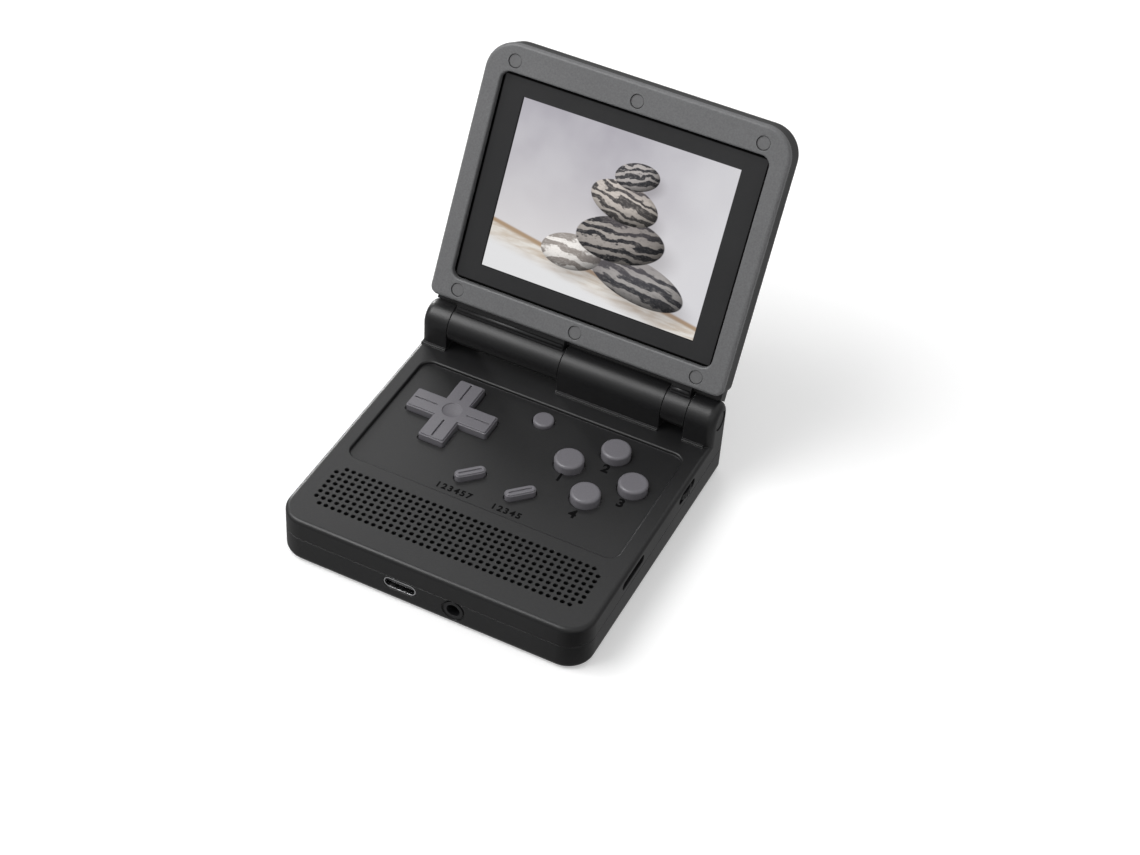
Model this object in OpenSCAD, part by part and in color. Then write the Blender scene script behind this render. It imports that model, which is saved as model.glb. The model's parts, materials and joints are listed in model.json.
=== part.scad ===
// Clamshell handheld game console, shown open with its lid leaning back.
// Millimetres. Origin: centre of the flat underside of the base.
// +X is the player's right, +Y runs from the player to the hinge, +Z is up.

/* [Base] */
// Width of the base
body_w = 85; // [83:0.5:90]
// Depth of the base, front wall to back wall
body_d = 84; // [82:0.5:88]
// Height of the base up to its deck
body_h = 14; // [14:0.25:16]
// Radius of the front vertical corners
corner_r = 7; // [5:0.5:8]
// Radius of the back vertical corners and of the hinge's outer ends
back_r = 2.2; // [2.1:0.1:3]
// Radius of the edge round the deck
top_r = 1.2; // [0.6:0.1:1.6]
// Radius of the edge round the underside
bottom_r = 2; // [1:0.1:2]
// Thickness of the side walls
wall = 1.6; // [1.3:0.1:1.9]
// Thickness of the floor
floor_t = 2; // [1.8:0.1:2.2]
// Thickness of the deck
deck_t = 2.4; // [2.2:0.1:2.6]
// Height of the line where the two halves of the base meet
split_z = 8; // [7.9:0.1:8.4]

/* [Control panel] */
// Width of the rim left beside the sunk panel
panel_rim = 4.6; // [4:0.2:5.4]
// Distance of the sunk panel behind the front wall
panel_front = 26.62; // [25.42:0.1:27.42]
// Gap from the sunk panel to the hinge's foot
panel_back = 5.8; // [5.4:0.1:6.4]
// Corner radius of the sunk panel
panel_r = 3; // [1.5:0.5:5]
// Depth of the sunk panel
panel_depth = 0.9; // [0.7:0.1:1]
// Radius of the edges round the sunk panel and round the screen window
edge_r = 0.5; // [0.3:0.1:0.6]
// Distance of the direction pad's and of the button group's centre from the panel's side
pad_side = 16.1; // [15.4:0.1:16.6]
// Distance of the direction pad's centre in front of the panel's back edge
pad_back = 15.01; // [14.41:0.1:15.61]
// Distance of the button group's centre in front of the panel's back edge
group_back = 16.3; // [15.7:0.1:17]
// Distance of the menu button in front of the panel's back edge
menu_back = 5.301; // [5.001:0.1:6.001]
// Distance of the pill buttons behind the panel's front edge
pill_front = 9.189; // [8.789:0.1:9.789]
// Length over the arms of the direction pad
pad_l = 23.3; // [20:0.5:24]
// Width of an arm of the direction pad
pad_arm = 7.2; // [6:0.2:8]
// Height of the direction pad above the panel
pad_rise = 1.9; // [1.4:0.1:1.9]
// Diameter of a face button
button_d = 7.8; // [6.6:0.2:8.4]
// Distance of each face button from the group's centre
button_pitch = 9; // [8.4:0.1:9.4]
// Height of the face buttons above the panel
button_rise = 2.5; // [1.8:0.1:2.5]
// Travel of every push button
button_travel = 0.9; // [0.5:0.1:0.9]
// Length of a slanted pill button
pill_l = 8.2; // [7:0.2:9]
// Width of a slanted pill button
pill_w = 2.8; // [2.4:0.1:3.2]
// Distance of each pill button from the middle
pill_x = 7.1; // [6.6:0.1:8]
// Slant of the pill buttons
pill_angle = 45; // [30:1:60]
// Diameter of the menu button
menu_d = 5.6; // [4.6:0.2:6]
// Side gap between a button and its hole
button_gap = 0.25; // [0.2:0.05:0.4]

/* [Speaker grille] */
// Holes in a row of the grille
grille_cols = 39; // [31:2:39]
// Rows of holes in the grille
grille_rows = 8; // [5:1:8]
// Distance of the first and last columns of holes from the side walls
grille_margin = 5.925; // [5.8:0.025:8]
// Diameter of a grille hole
grille_d = 1.1; // [0.8:0.05:1.3]
// Distance of the grille's centre from the front wall
grille_y = 14.868; // [14.268:0.1:15.168]

/* [Ports and side controls] */
// Distance of the charging port left of the middle
usb_x = 7.3; // [6.5:0.1:12]
// Distance of the charging port's centre below the board
usb_drop = 1.7; // [1.7:0.1:2.1]
// Distance of the headphone jack right of the middle
jack_x = 7.6; // [6.8:0.1:12]
// Distance of the headphone jack's centre below the board
jack_drop = 2.3; // [2.3:0.1:2.5]
// Diameter of the headphone jack's bore
jack_bore = 3.6; // [3.55:0.05:3.7]
// Depth of the headphone jack's bore
jack_depth = 12; // [10:0.5:13]
// Distance of the volume wheel in front of the hinge axis
wheel_y = 19.2; // [18.8:0.2:20.4]
// Diameter of the volume wheel
wheel_d = 10; // [9.6:0.1:10.4]
// How far the volume wheel stands out of the side
wheel_out = 0.7; // [0.4:0.1:0.8]
// Gap between the right-hand speaker and the memory card socket behind it
card_gap = 0.232; // [0.032:0.1:0.632]

/* [Hinge] */
// Radius of the hinge barrels
barrel_r = 5; // [4.6:0.1:5]
// Height of the hinge axis above the deck
hinge_rise = 6; // [5.8:0.1:6.4]
// Gap between neighbouring barrels
barrel_gap = 0.2; // [0.1:0.05:0.3]
// Radius of the plain hinge pins
pin_r = 1.5; // [1.2:0.1:1.7]
// Running clearance of the lid on its pins
pin_gap = 0.06; // [0.03:0.01:0.1]
// Angle between the lid and the base
open_angle = 117; // [100:1:130]

/* [Lid] */
// How far each side of the lid stays inside the side of the base
lid_inset = 0.3; // [0:0.05:0.8]
// How far the closed lid's far edge stays behind the front of the base
lid_short = 1.9; // [1:0.1:2.4]
// Distance of the lid's near edge from the hinge axis
lid_near = 7.2; // [7.2:0.1:7.6]
// Thickness of the lid
lid_t = 9.3; // [8.9:0.1:11]
// Radius of the lid's far corners
lid_corner_r = 8; // [5:0.5:9]
// Radius of the edge round the lid's outer face
lid_back_r = 2; // [1:0.1:2.1]
// Gap between the lid's inner face and the deck when closed
closed_gap = 0.3; // [0.2:0.05:0.4]
// Thickness of the lid's walls
lid_wall = 1.6; // [1.3:0.1:1.8]
// Width of the lid's rim left and right of the screen window
rim_side = 4.9; // [4.7:0.1:6]
// Width of the rim between the hinge and the screen window
rim_near = 6.05; // [6:0.05:7]
// Width of the rim beyond the screen window
rim_far = 7.55; // [7:0.05:9]
// Depth of the window below the lid's inner face
window_depth = 1.7; // [1.6:0.05:1.8]
// Least width of the black border left and right of the picture
border_side = 6.82; // [6:0.01:9]
// Least width of the black border above and below the picture
border_end = 5.29; // [4.6:0.01:7]
// Diameter of the plugs that hide the lid's screws
plug_d = 3.5; // [3:0.1:3.8]

/* [Battery] */
// Width of the battery
battery_w = 53; // [48:0.5:54]
// Length of the battery, front to back
battery_l = 34; // [32:0.5:34.5]
// Room left between the battery and the board above it
battery_gap = 0.6; // [0.4:0.1:1.4]
// Thickness of the battery cover
cover_t = 1; // [0.9:0.05:1.1]

/* [Shoulder buttons] */
// Length of a shoulder button
shoulder_w = 18.2; // [16:0.1:18.4]
// Distance of a shoulder button's upper edge below the deck
shoulder_drop = 3; // [3:0.1:4.6]
// How far a shoulder button stands out of the back wall
shoulder_out = 0.6; // [0.3:0.1:0.9]

/* [Hidden] */
fit = 0.1;          // gap between fixed pieces that slip together
loose = 0.3;        // gap round a piece that moves
touch = 0.05;       // gap between pieces that lie on each other
hw = body_w/2;
hd = body_d/2;
in_x = hw - wall;                    // inner faces of the walls
in_y = hd - wall;
ceil_z = body_h - deck_t;            // underside of the deck
panel_z = body_h - panel_depth;      // floor of the sunk panel
hinge_y = hd - barrel_r;
hinge_z = body_h + hinge_rise;
foot_y = hinge_y - barrel_r;         // front of the hinge's foot
panel_y0 = -hd + panel_front;        // front and back edge of the sunk panel
panel_y1 = foot_y - panel_back;
panel_l = panel_y1 - panel_y0;
panel_y = panel_y0 + panel_l/2;
panel_w = body_w - 2*panel_rim;
tall = body_h + 46;                  // height of the cutting blocks
seam_w = 0.2;                        // groove where the two halves meet
// board and what stands on it
board_t = 1.2;
board_z = ceil_z - 3.1;              // top of the board
board_under = board_z - board_t;
mat_t = 0.5;                         // thickness of the rubber mats
mat_r = 3;                           // corner radius of the rubber mats
mat_edge = 0.25;                     // rubber left beyond the keys
key_under = ceil_z - 1;              // underside of the push buttons
flange_t = 0.9;
// direction pad
pad_x = panel_w/2 - pad_side;
pad_y = panel_y1 - pad_back;
pad_under = key_under - 0.55;
pad_flange_r = 0.386*pad_l;
pad_dish_r = 2.6;
pad_dish = 0.5;                      // depth of the dish in the middle
pad_dish_rim = 0.2;                  // upright part of the dish's rim
pad_top = panel_z + pad_rise;
pad_gap = button_gap + 0.1;
// buttons
group_y = panel_y1 - group_back;
menu_y = panel_y1 - menu_back;
pill_y = panel_y0 + pill_front;
pill_mat_w = 2*pill_x + 6.6;
pill_mat_l = 8.6;
groove_w = 0.5;
groove_d = 0.45;
// seams of the hinge, left to right
seams = [-hw + 7.6, -0.0247*body_w, hw - 15, hw - 8.2];
bg = barrel_gap/2;
lip_w = 0.7;
lip_h = 0.45;
lip_r = 0.25;
// screws and posts of the base
screw_r = 0.95;
post_r = 2.5;
post_x = [hw - 5.5, hw - 4.3, hw - 4.3];
head_z = 2.4;                        // seat of the screw heads
head_r = 1.85;
case_screw_l = 6.2;
cover_screw_l = 4.4;
// grille and speakers
grille_pitch = (body_w - 2*grille_margin)/(grille_cols - 1);
grille_cy = -hd + grille_y;
pocket_z = body_h - 1.2;
speaker_w = in_x - 10.9;
speaker_l = grille_rows*grille_pitch - 3;
speaker_x = 3.6 + speaker_w/2;
magnet_w = speaker_w*2/3;
magnet_l = speaker_l*0.65;
speaker_z = board_z + 0.7;
// side controls
wheel_cy = hinge_y - wheel_y;
wheel_cx = hw + wheel_out - wheel_d/2;
wheel_z = ceil_z - 1.4;              // underside of the wheel
wheel_t = 1.6;
card_w = 12.3;
card_z = board_z + 1.1;
socket_l = 14.5;                     // the card socket's box
socket_w = card_w + 0.9;
card_cy = grille_cy + speaker_l/2 + card_gap + socket_w/2;
post_y = [-hd + 5.5, card_cy + 14.6, foot_y - 2.6];
socket_h = 2.4;
usb_w = 8.94;                        // the charging port's shell
usb_h = 3.26;
usb_l = 7.4;
usb_t = 0.3;
usb_gap = 0.18;                      // room round the port in the front wall
usb_z = board_under - usb_drop;
jack_z = board_under - jack_drop;
jack_w = 6.4;                        // the headphone jack's box
switch_l = 8;                        // length of the power switch
power_cy = wheel_cy;
power_z = board_z + 1.4;
power_travel = 2.5;
// battery bay
bay_w = battery_w + 1;
bay_l = battery_l + 2.6;
bay_y1 = foot_y - 6;
bay_y = bay_y1 - bay_l/2;
bay_wall = 1;
rebate = 1.2;                        // ledge that the cover rests on
ear_y = bay_y1 - bay_l - 3.4;
ear_r = 3.6;
battery_z = cover_t + fit;
battery_t = board_under - battery_z - battery_gap;
battery_y = bay_y - 0.8;
// shoulder buttons
sh_x1 = hw - 2.5;                    // outer end of a shoulder button
sh_z = split_z - 4.6;                // underside of a shoulder button
shoulder_h = body_h - shoulder_drop - sh_z;
shoulder_in = sh_x1 - shoulder_w;
sh_pivot_x = shoulder_in + 1.2;
sh_pivot_y = in_y - 2.6;
sh_pin_r = 0.75;
sh_switch_x = shoulder_in + 0.533*shoulder_w;
sh_switch_y = sh_pivot_y - 4.3;
sh_switch_w = 4.4;                   // box of a shoulder button's switch
sh_switch_l = 3.6;
sh_switch_h = 2.7;
// hinge bores
plug_r = 2.5;
plug_t = 1.3;                        // thickness of the hinge's end plugs
pin_in = 7;                          // how far the plain pin goes into the lid's barrel
tip_in = 5.8;                        // how far the cartridge goes into the middle knuckle
tube_r = 2.5;
tube_l = 13;                         // how far the ribbon's bore goes into the middle knuckle
roll_l = 17;                         // how far the ribbon's roll goes into the lid's barrel
ribbon_w = 7.8;
// lid, in its own frame: y runs up the lid, z points out of its inner face
face_n = hinge_rise - closed_gap;
back_n = face_n - lid_t;
lid_w = body_w - 2*lid_inset;
lid_far = hinge_y + hd - lid_short;
lid_hw = lid_w/2;
lid_near_r = 2.2;
lid_l = lid_far - lid_near;
bezel_t = 2;
bezel_n = face_n - bezel_t;
frame_n = face_n - 3.3;              // underside of the bezel's inner frame
lens_n = face_n - window_depth;      // outer face of the lens
lens_t = 0.8;
tape_t = 0.15;
window_w = lid_w - 2*rim_side;
window_h = lid_l - rim_near - rim_far;
win_y = lid_near + rim_near + window_h/2;
window_r = 2.5;
screen_w = min(window_w - 2*border_side, (window_h - 2*border_end)*4/3);
screen_h = screen_w*3/4;
lcd_w = screen_w + 6.5;
lcd_h = screen_h + 7;
lcd_t = 2.2;
lcd_n = lens_n - lens_t - tape_t;    // front of the display panel
plug_pocket_r = plug_d/2 + 0.12;
plug_sink = 0.3;                     // how deep the plugs lie below the bezel
lid_px = [-window_w/2 + 2.9, 0, window_w/2 - 2.9];
lid_py = [lid_near + 3.1, lid_far - 4.6];
neck_n = bezel_n - 0.1;
neck_y = 3.9;
skirt_n = 1;                         // front of the skirt that covers the knuckles
lid_screw_r = 0.75;
black = "#26262a";
dark = "#1b1b1d";
key = "#6c6a72";
face = "#4a4b4e";
metal = "#b9bcc2";
green = "#1f5c3c";
rubber = "#8f9096";

// ---------- shapes ----------

// rectangle with round corners
module rr(w, d, r) {
  square([w - 2*r, d], center = true);
  square([w, d - 2*r], center = true);
  for (x = [-1, 1], y = [-1, 1])
    translate([x*(w/2 - r), y*(d/2 - r)]) circle(r = r, $fn = 48);
}

// long slot with round ends, along x
module stadium(l, w) {
  square([l - w, w], center = true);
  for (s = [-1, 1]) translate([s*(l - w)/2, 0]) circle(r = w/2, $fn = 40);
}

// half section from the axis out to a, with rounded outer corners
module half_section(a, h, rt, rb) {
  difference() {
    square([a, h]);
    if (rt > 0) translate([a - rt, h - rt]) difference() {
      square([rt + 1, rt + 1]);
      circle(r = rt, $fn = 48);
    }
    if (rb > 0) translate([a - rb, -1]) difference() {
      square([rb + 1, rb + 1]);
      translate([0, rb + 1]) circle(r = rb, $fn = 48);
    }
  }
}

// slab with upright corners of radius r0 at -y and r1 at +y,
// and rounded edges rt above and rb below
module slab(w, d, r0, r1, h, rt, rb) {
  rotate([90, 0, 90]) linear_extrude(height = w - 2*r1, center = true)
    half_section(d/2, h, rt, rb);
  rotate([90, 0, -90]) linear_extrude(height = w - 2*r0, center = true)
    half_section(d/2, h, rt, rb);
  translate([0, (r0 - r1)/2, 0]) rotate([90, 0, 0])
    linear_extrude(height = d - r0 - r1, center = true) {
      half_section(w/2, h, rt, rb);
      mirror([1, 0]) half_section(w/2, h, rt, rb);
    }
  for (s = [-1, 1]) {
    translate([s*(w/2 - r0), -d/2 + r0, 0])
      rotate_extrude($fn = 64) half_section(r0, h, rt, rb);
    translate([s*(w/2 - r1), d/2 - r1, 0])
      rotate_extrude($fn = 64) half_section(r1, h, rt, rb);
  }
}

// cylinder along x from x0 to x1
module xcyl(x0, x1, r) {
  translate([x0, 0, 0]) rotate([0, 90, 0]) cylinder(r = r, h = x1 - x0, $fn = 64);
}

// pin or key with rounded rims, along z
module puck(r, h, rt, rb) {
  rotate_extrude($fn = 64) half_section(r, h, rt, rb);
}

module at_hinge() {
  translate([0, hinge_y, hinge_z]) children();
}

// places what is drawn in the lid's own frame
module on_lid() {
  at_hinge() rotate([180 - open_angle, 0, 0]) children();
}

module posts() {
  for (s = [-1, 1], i = [0:2]) translate([s*post_x[i], post_y[i], 0]) children();
}

module below(z) {
  translate([-body_w, -body_d, z - tall]) cube([2*body_w, 2*body_d, tall]);
}

module above(z) {
  translate([-body_w, -body_d, z]) cube([2*body_w, 2*body_d, tall]);
}

// what a rounded edge of radius r takes off, right of the axis and below it
module edge_cut(r) {
  difference() {
    translate([-0.2, -r]) square([r + 0.2, r + 1]);
    translate([r, -r]) circle(r = r, $fn = 40);
  }
}

// cutter that rounds the edge round an opening w by l with corner radius r0
module opening_edge(w, l, r0, r) {
  for (a = [0, 180]) rotate([0, 0, a]) translate([w/2, 0, 0]) rotate([90, 0, 0])
    linear_extrude(height = l - 2*r0, center = true) edge_cut(r);
  for (a = [90, 270]) rotate([0, 0, a]) translate([l/2, 0, 0]) rotate([90, 0, 0])
    linear_extrude(height = w - 2*r0, center = true) edge_cut(r);
  for (x = [-1, 1], y = [-1, 1]) translate([x*(w/2 - r0), y*(l/2 - r0), 0])
    rotate_extrude($fn = 64) translate([r0, 0]) edge_cut(r);
}

// ---------- base shells ----------

module base_outer() {
  slab(body_w, body_d, corner_r, back_r, body_h, top_r, bottom_r);
}

// shallow groove round the base just below the line where its halves meet
module seam_groove() {
  w = body_w - 2*seam_w;
  l = body_d - 2*seam_w;
  translate([0, 0, split_z - seam_w]) linear_extrude(height = 1) difference() {
    square([body_w + 4, body_d + 4], center = true);
    translate([0, -5]) rr(w, l - 10, corner_r - seam_w);
    translate([0, 5]) rr(w, l - 10, back_r - seam_w);
  }
}

module base_cavity(extra) {
  translate([0, 0, floor_t]) linear_extrude(height = ceil_z - floor_t) union() {
    rr(2*(in_x + extra), 2*(in_y + extra) - 20, 1);
    translate([0, 5]) rr(2*(in_x + extra), 2*(in_y + extra) - 10, 1);
    translate([0, -5]) rr(2*(in_x + extra), 2*(in_y + extra) - 10, corner_r - wall);
  }
}

// one knuckle of the base: a barrel that grows out of an upright foot
module knuckle(x0, x1, e0, e1) {
  at_hinge() translate([x0, 0, 0]) rotate([0, 90, 0])
    rotate_extrude($fn = 96) half_section(barrel_r, x1 - x0, e1*back_r, e0*back_r);
  translate([0, 0, split_z]) linear_extrude(height = hinge_z - split_z)
    difference() {
      translate([x0, hinge_y - barrel_r]) square([x1 - x0, 2*barrel_r]);
      if (e0 > 0) knuckle_corners(x0, -1);
      if (e1 > 0) knuckle_corners(x1, 1);
    }
}

module knuckle_corners(x, s) {
  for (t = [-1, 1])
    translate([x - s*back_r, hinge_y + t*(barrel_r - back_r)]) difference() {
      translate([s > 0 ? 0 : -back_r - 1, t > 0 ? 0 : -back_r - 1])
        square([back_r + 1, back_r + 1]);
      circle(r = back_r, $fn = 48);
    }
}

// ledge along the front of a foot, with a rounded edge
module lip(x0, x1) {
  translate([x0, foot_y, body_h]) rotate([90, 0, 90]) linear_extrude(height = x1 - x0) union() {
    translate([-lip_w, -0.5]) square([lip_w + 1, lip_h - lip_r + 0.5]);
    translate([lip_r - lip_w, -0.5]) square([lip_w - lip_r + 1, lip_h + 0.5]);
    translate([lip_r - lip_w, lip_h - lip_r]) circle(r = lip_r, $fn = 32);
  }
}

module grille_holes() {
  for (i = [0:grille_cols - 1], j = [0:grille_rows - 1])
    if ((i > 0 && i < grille_cols - 1) || (j > 0 && j < grille_rows - 1))
      translate([(i - (grille_cols - 1)/2)*grille_pitch,
                 grille_cy + (j - (grille_rows - 1)/2)*grille_pitch, pocket_z - 1])
        cylinder(d = grille_d, h = body_h - pocket_z + 2, $fn = 24);
}

module cross(l, w, r) {
  rr(l, w, r);
  rr(w, l, r);
}

module at_pad(z) {
  translate([-pad_x, pad_y, z]) children();
}

module at_button(i, z) {
  translate([pad_x + button_pitch*[0, 1, 0, -1][i],
             group_y + button_pitch*[1, 0, -1, 0][i], z]) children();
}

module at_pill(s, z) {
  translate([s*pill_x, pill_y, z]) rotate([0, 0, pill_angle]) children();
}

// the window in the back wall that a shoulder button fills
module shoulder_window(s) {
  x0 = shoulder_in - loose;
  x1 = sh_x1 + 0.45;
  translate([s > 0 ? x0 : -x1, in_y - 1, sh_z - loose])
    cube([x1 - x0, wall + 2, shoulder_h + 2*loose]);
}

module side_slot(s, y, z, l, h, depth) {
  translate([s*(hw + 1), y, z]) rotate([0, -s*90, 0])
    linear_extrude(height = depth + 1) rotate(90) stadium(l, h);
}

module power_slot(extra) {
  side_slot(-1, power_cy, power_z + 0.8, 6.2 + extra, 2.2 + extra, wall + 1);
}

// holes of the charging port and the headphone jack in the front wall
module port_holes() {
  translate([-usb_x, -hd, usb_z]) rotate([90, 0, 0])
    linear_extrude(height = 8, center = true) stadium(usb_w + 2*usb_gap, usb_h + 2*usb_gap);
  translate([jack_x, -hd + 4, jack_z]) rotate([90, 0, 0]) cylinder(r = 2.75, h = 6, $fn = 64);
}

module base_top_shell() color(black) difference() {
  union() {
    intersection() {
      base_outer();
      above(split_z);
    }
    posts() translate([0, 0, head_z + 1.7])
      cylinder(r = post_r, h = ceil_z - head_z - 1.2, $fn = 48);
    knuckle(-hw, seams[0] - bg, 1, 0);
    knuckle(seams[1] + bg, seams[2] - bg, 0, 0);
    knuckle(seams[3] + bg, hw, 0, 1);
    lip(-hw + 0.4, seams[0] - bg);
    lip(seams[1] + bg, seams[2] - bg);
    lip(seams[3] + bg, hw - back_r + 0.2);
  }
  difference() {
    base_cavity(0);
    // posts that take the case screws
    posts() cylinder(r = post_r, h = 20, $fn = 48);
  }
  posts() translate([0, 0, -1]) cylinder(r = screw_r + 0.02, h = 10, $fn = 32);
  // sunk control panel
  translate([0, panel_y, panel_z]) linear_extrude(height = 3) rr(panel_w, panel_l, panel_r);
  translate([0, panel_y, body_h]) opening_edge(panel_w, panel_l, panel_r, edge_r);
  at_pad(0) linear_extrude(height = 30) cross(pad_l + 2*pad_gap, pad_arm + 2*pad_gap, 0.8);
  for (i = [0:3]) at_button(i, 0) cylinder(r = button_d/2 + button_gap, h = 30, $fn = 64);
  for (s = [-1, 1]) at_pill(s, 0) linear_extrude(height = 30)
    stadium(pill_l + 2*button_gap, pill_w + 2*button_gap);
  translate([0, menu_y, 0]) cylinder(r = menu_d/2 + button_gap, h = 30, $fn = 64);
  // speaker grille, with a pocket behind it
  grille_holes();
  translate([0, grille_cy, ceil_z - 1]) linear_extrude(height = pocket_z - ceil_z + 1)
    rr(min(grille_cols*grille_pitch + 0.2, 2*in_x - 4), grille_rows*grille_pitch + 0.2, 1);
  // side slots
  side_slot(1, wheel_cy, wheel_z + wheel_t/2 + 0.1, wheel_d - 0.5, 2.9, wall + 1);
  translate([wheel_cx, wheel_cy, ceil_z - 1]) cylinder(r = wheel_d/2 + 0.4, h = 1.5, $fn = 64);
  side_slot(1, card_cy, card_z + 1.2, card_w, 2.6, 0.7);
  side_slot(1, card_cy, card_z + 0.6, card_w - 0.4, 1.4, wall + 1);
  power_slot(0);
  // in a taller case these reach past the line where the halves meet
  port_holes();
  for (s = [-1, 1]) {
    shoulder_window(s);
    translate([s*sh_pivot_x, sh_pivot_y, 0])
      cylinder(r = sh_pin_r + 0.02, h = ceil_z + 0.6, $fn = 32);
  }
  // hinge bores: plain pin on the left, cartridge on the right, ribbon in the middle
  at_hinge() {
    xcyl(-hw - 1, seams[0] + 1, pin_r + 0.03);
    xcyl(-hw - 1, -hw + 1.6, plug_r + 0.03);
    xcyl(-hw - 1, -hw + 0.4, plug_r + 0.3);
    xcyl(seams[3] - 1, hw + 1, plug_r + 0.03);
    xcyl(hw - 0.4, hw + 1, plug_r + 0.3);
    xcyl(seams[2] - tip_in - 0.2, seams[2] + 1, pin_r + 0.03);
    xcyl(seams[1] - 1, seams[1] + tube_l, tube_r + 0.08);
  }
  translate([seams[1] + 3, hinge_y - 0.6, ceil_z - 1])
    cube([ribbon_w + 1.2, 1.2, hinge_rise + deck_t]);
}

module base_bottom_shell() color(black) difference() {
  union() {
    intersection() {
      base_outer();
      below(split_z);
    }
  }
  seam_groove();
  difference() {
    base_cavity(0);
    posts() cylinder(r = post_r, h = head_z + 1.6, $fn = 48);
    // walls of the battery bay, and the post of its cover's screw
    translate([0, bay_y, 0]) linear_extrude(height = board_under - touch)
      rr(bay_w + 2*bay_wall, bay_l + 2*bay_wall, 1.5);
    translate([0, ear_y, 0]) cylinder(r = 2.6, h = board_under - touch, $fn = 48);
  }
  translate([0, bay_y, -1]) linear_extrude(height = 20) rr(bay_w, bay_l, 0.8);
  // rebate for the cover and its ear
  translate([0, 0, -1]) linear_extrude(height = cover_t + touch + 1) cover_plan(fit);
  translate([0, ear_y, 0]) cylinder(r = screw_r + 0.02, h = 5.5, $fn = 32);
  for (s = [-1, 1]) translate([s*15, bay_y1 + 0.6, floor_t + 0.5])
    cube([6.4, 4.4, 1.1], center = true);
  posts() translate([0, 0, -1]) {
    cylinder(r = head_r + 0.15, h = head_z + 1, $fn = 48);
    cylinder(r = screw_r + 0.2, h = 12, $fn = 32);
  }
  port_holes();
  translate([jack_x, -hd + 0.35, jack_z]) rotate([90, 0, 0]) cylinder(r = 3.25, h = 2, $fn = 64);
  for (s = [-1, 1]) {
    shoulder_window(s);
    translate([s*sh_pivot_x, sh_pivot_y, floor_t - 0.6])
      cylinder(r = sh_pin_r + 0.02, h = 4, $fn = 32);
  }
}

// outline of the battery cover with its screw ear
module cover_plan(extra) {
  translate([0, bay_y]) rr(bay_w + 2*(rebate + extra), bay_l + 2*(rebate + extra), 1.5);
  translate([0, ear_y]) circle(r = ear_r + extra, $fn = 48);
  translate([-ear_r - extra, ear_y]) square([2*(ear_r + extra), 4]);
}

module battery_cover() color(black) difference() {
  union() {
    linear_extrude(height = cover_t) cover_plan(0);
    // two hooks that go under the back edge of the bay
    for (s = [-1, 1]) translate([s*15 - 2.5, bay_y1 - 1.1, 0]) {
      cube([5, 1, floor_t + 0.9]);
      translate([0, 0, floor_t + 0.1]) cube([5, 2.4, 0.8]);
    }
  }
  translate([0, ear_y, -1]) {
    cylinder(r = head_r + 0.1, h = 1.6, $fn = 48);
    cylinder(r = screw_r + 0.15, h = 4, $fn = 32);
  }
  // grip lines
  for (i = [-2:2]) translate([0, bay_y - bay_l/2 + 4 + i*1.2, 0]) linear_extrude(
    height = 0.6, center = true) stadium(16, 0.6);
}

// machine screw, head down, seated at z = 0
module screw(r, rh, hh, l) {
  difference() {
    union() {
      translate([0, 0, -hh]) cylinder(r = rh, h = hh, $fn = 48);
      cylinder(r = r, h = l, $fn = 32);
    }
    for (a = [0, 90]) rotate([0, 0, a]) translate([-rh*0.6, -0.2, -hh - 1])
      cube([rh*1.2, 0.4, 1 + hh*0.55]);
  }
}

module battery_cover_screw() color(metal)
  translate([0, ear_y, 0.6]) screw(screw_r, head_r, 0.6, cover_screw_l);

module case_screws() color(metal)
  posts() translate([0, 0, head_z]) screw(screw_r, head_r, 1.3, case_screw_l);

// ---------- inside the base ----------

module battery() color("#3b6ea5")
  translate([0, battery_y, battery_z]) linear_extrude(height = battery_t)
    rr(battery_w, battery_l, 1.5);

module battery_contacts() color(metal) {
  translate([-6, bay_y1 - 0.95, 2.6]) cube([12, 0.9, board_under - touch - 2.6]);
  for (i = [-1:1]) translate([i*4 - 0.5, battery_y + battery_l/2 + touch, 3.4])
    cube([1, bay_y1 - 0.5 - battery_y - battery_l/2 - touch, 2.2]);
}

module main_board() color(green) difference() {
  translate([0, (foot_y + 1.5 - in_y)/2, board_under]) linear_extrude(height = board_t)
    rr(2*(in_x - 0.8), in_y + foot_y + 1.5 - 1.4, 2);
  posts() cylinder(r = post_r + 0.4, h = 30, $fn = 48);
  // corners cut back to follow the case
  for (s = [-1, 1]) translate([s*(in_x - 0.8), -in_y + 0.8, 0]) rotate([0, 0, 45])
    translate([0, 0, 10]) cube([6, 6, 30], center = true);
}

module speaker(s) {
  translate([s*speaker_x, grille_cy, speaker_z]) difference() {
    union() {
      linear_extrude(height = pocket_z - fit - speaker_z) rr(speaker_w, speaker_l, 4);
      translate([0, 0, touch - 0.7]) linear_extrude(height = 1) rr(magnet_w, magnet_l, 3);
    }
    // dished cone, seen through the grille
    translate([0, 0, pocket_z - fit - speaker_z - 0.8]) difference() {
      linear_extrude(height = 2) rr(speaker_w - 3, speaker_l - 3, 3);
      cylinder(r = 2.6, h = 0.5, $fn = 48);
    }
  }
}

module speaker_left() color(dark) speaker(-1);
module speaker_right() color(dark) speaker(1);

module at_usb() {
  translate([-usb_x, -hd + 0.15, usb_z]) rotate([-90, 0, 0]) children();
}

module usb_shell() color(metal) at_usb() difference() {
  linear_extrude(height = usb_l) stadium(usb_w, usb_h);
  translate([0, 0, -1]) linear_extrude(height = usb_l - 0.2)
    stadium(usb_w - 2*usb_t, usb_h - 2*usb_t);
}

module usb_tongue() color(dark) at_usb() {
  translate([-3.3, -0.35, 0.8]) cube([6.6, 0.7, 5.3]);
  translate([0, 0, 5]) linear_extrude(height = 1.15) stadium(8.2, 2.5);
}

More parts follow.
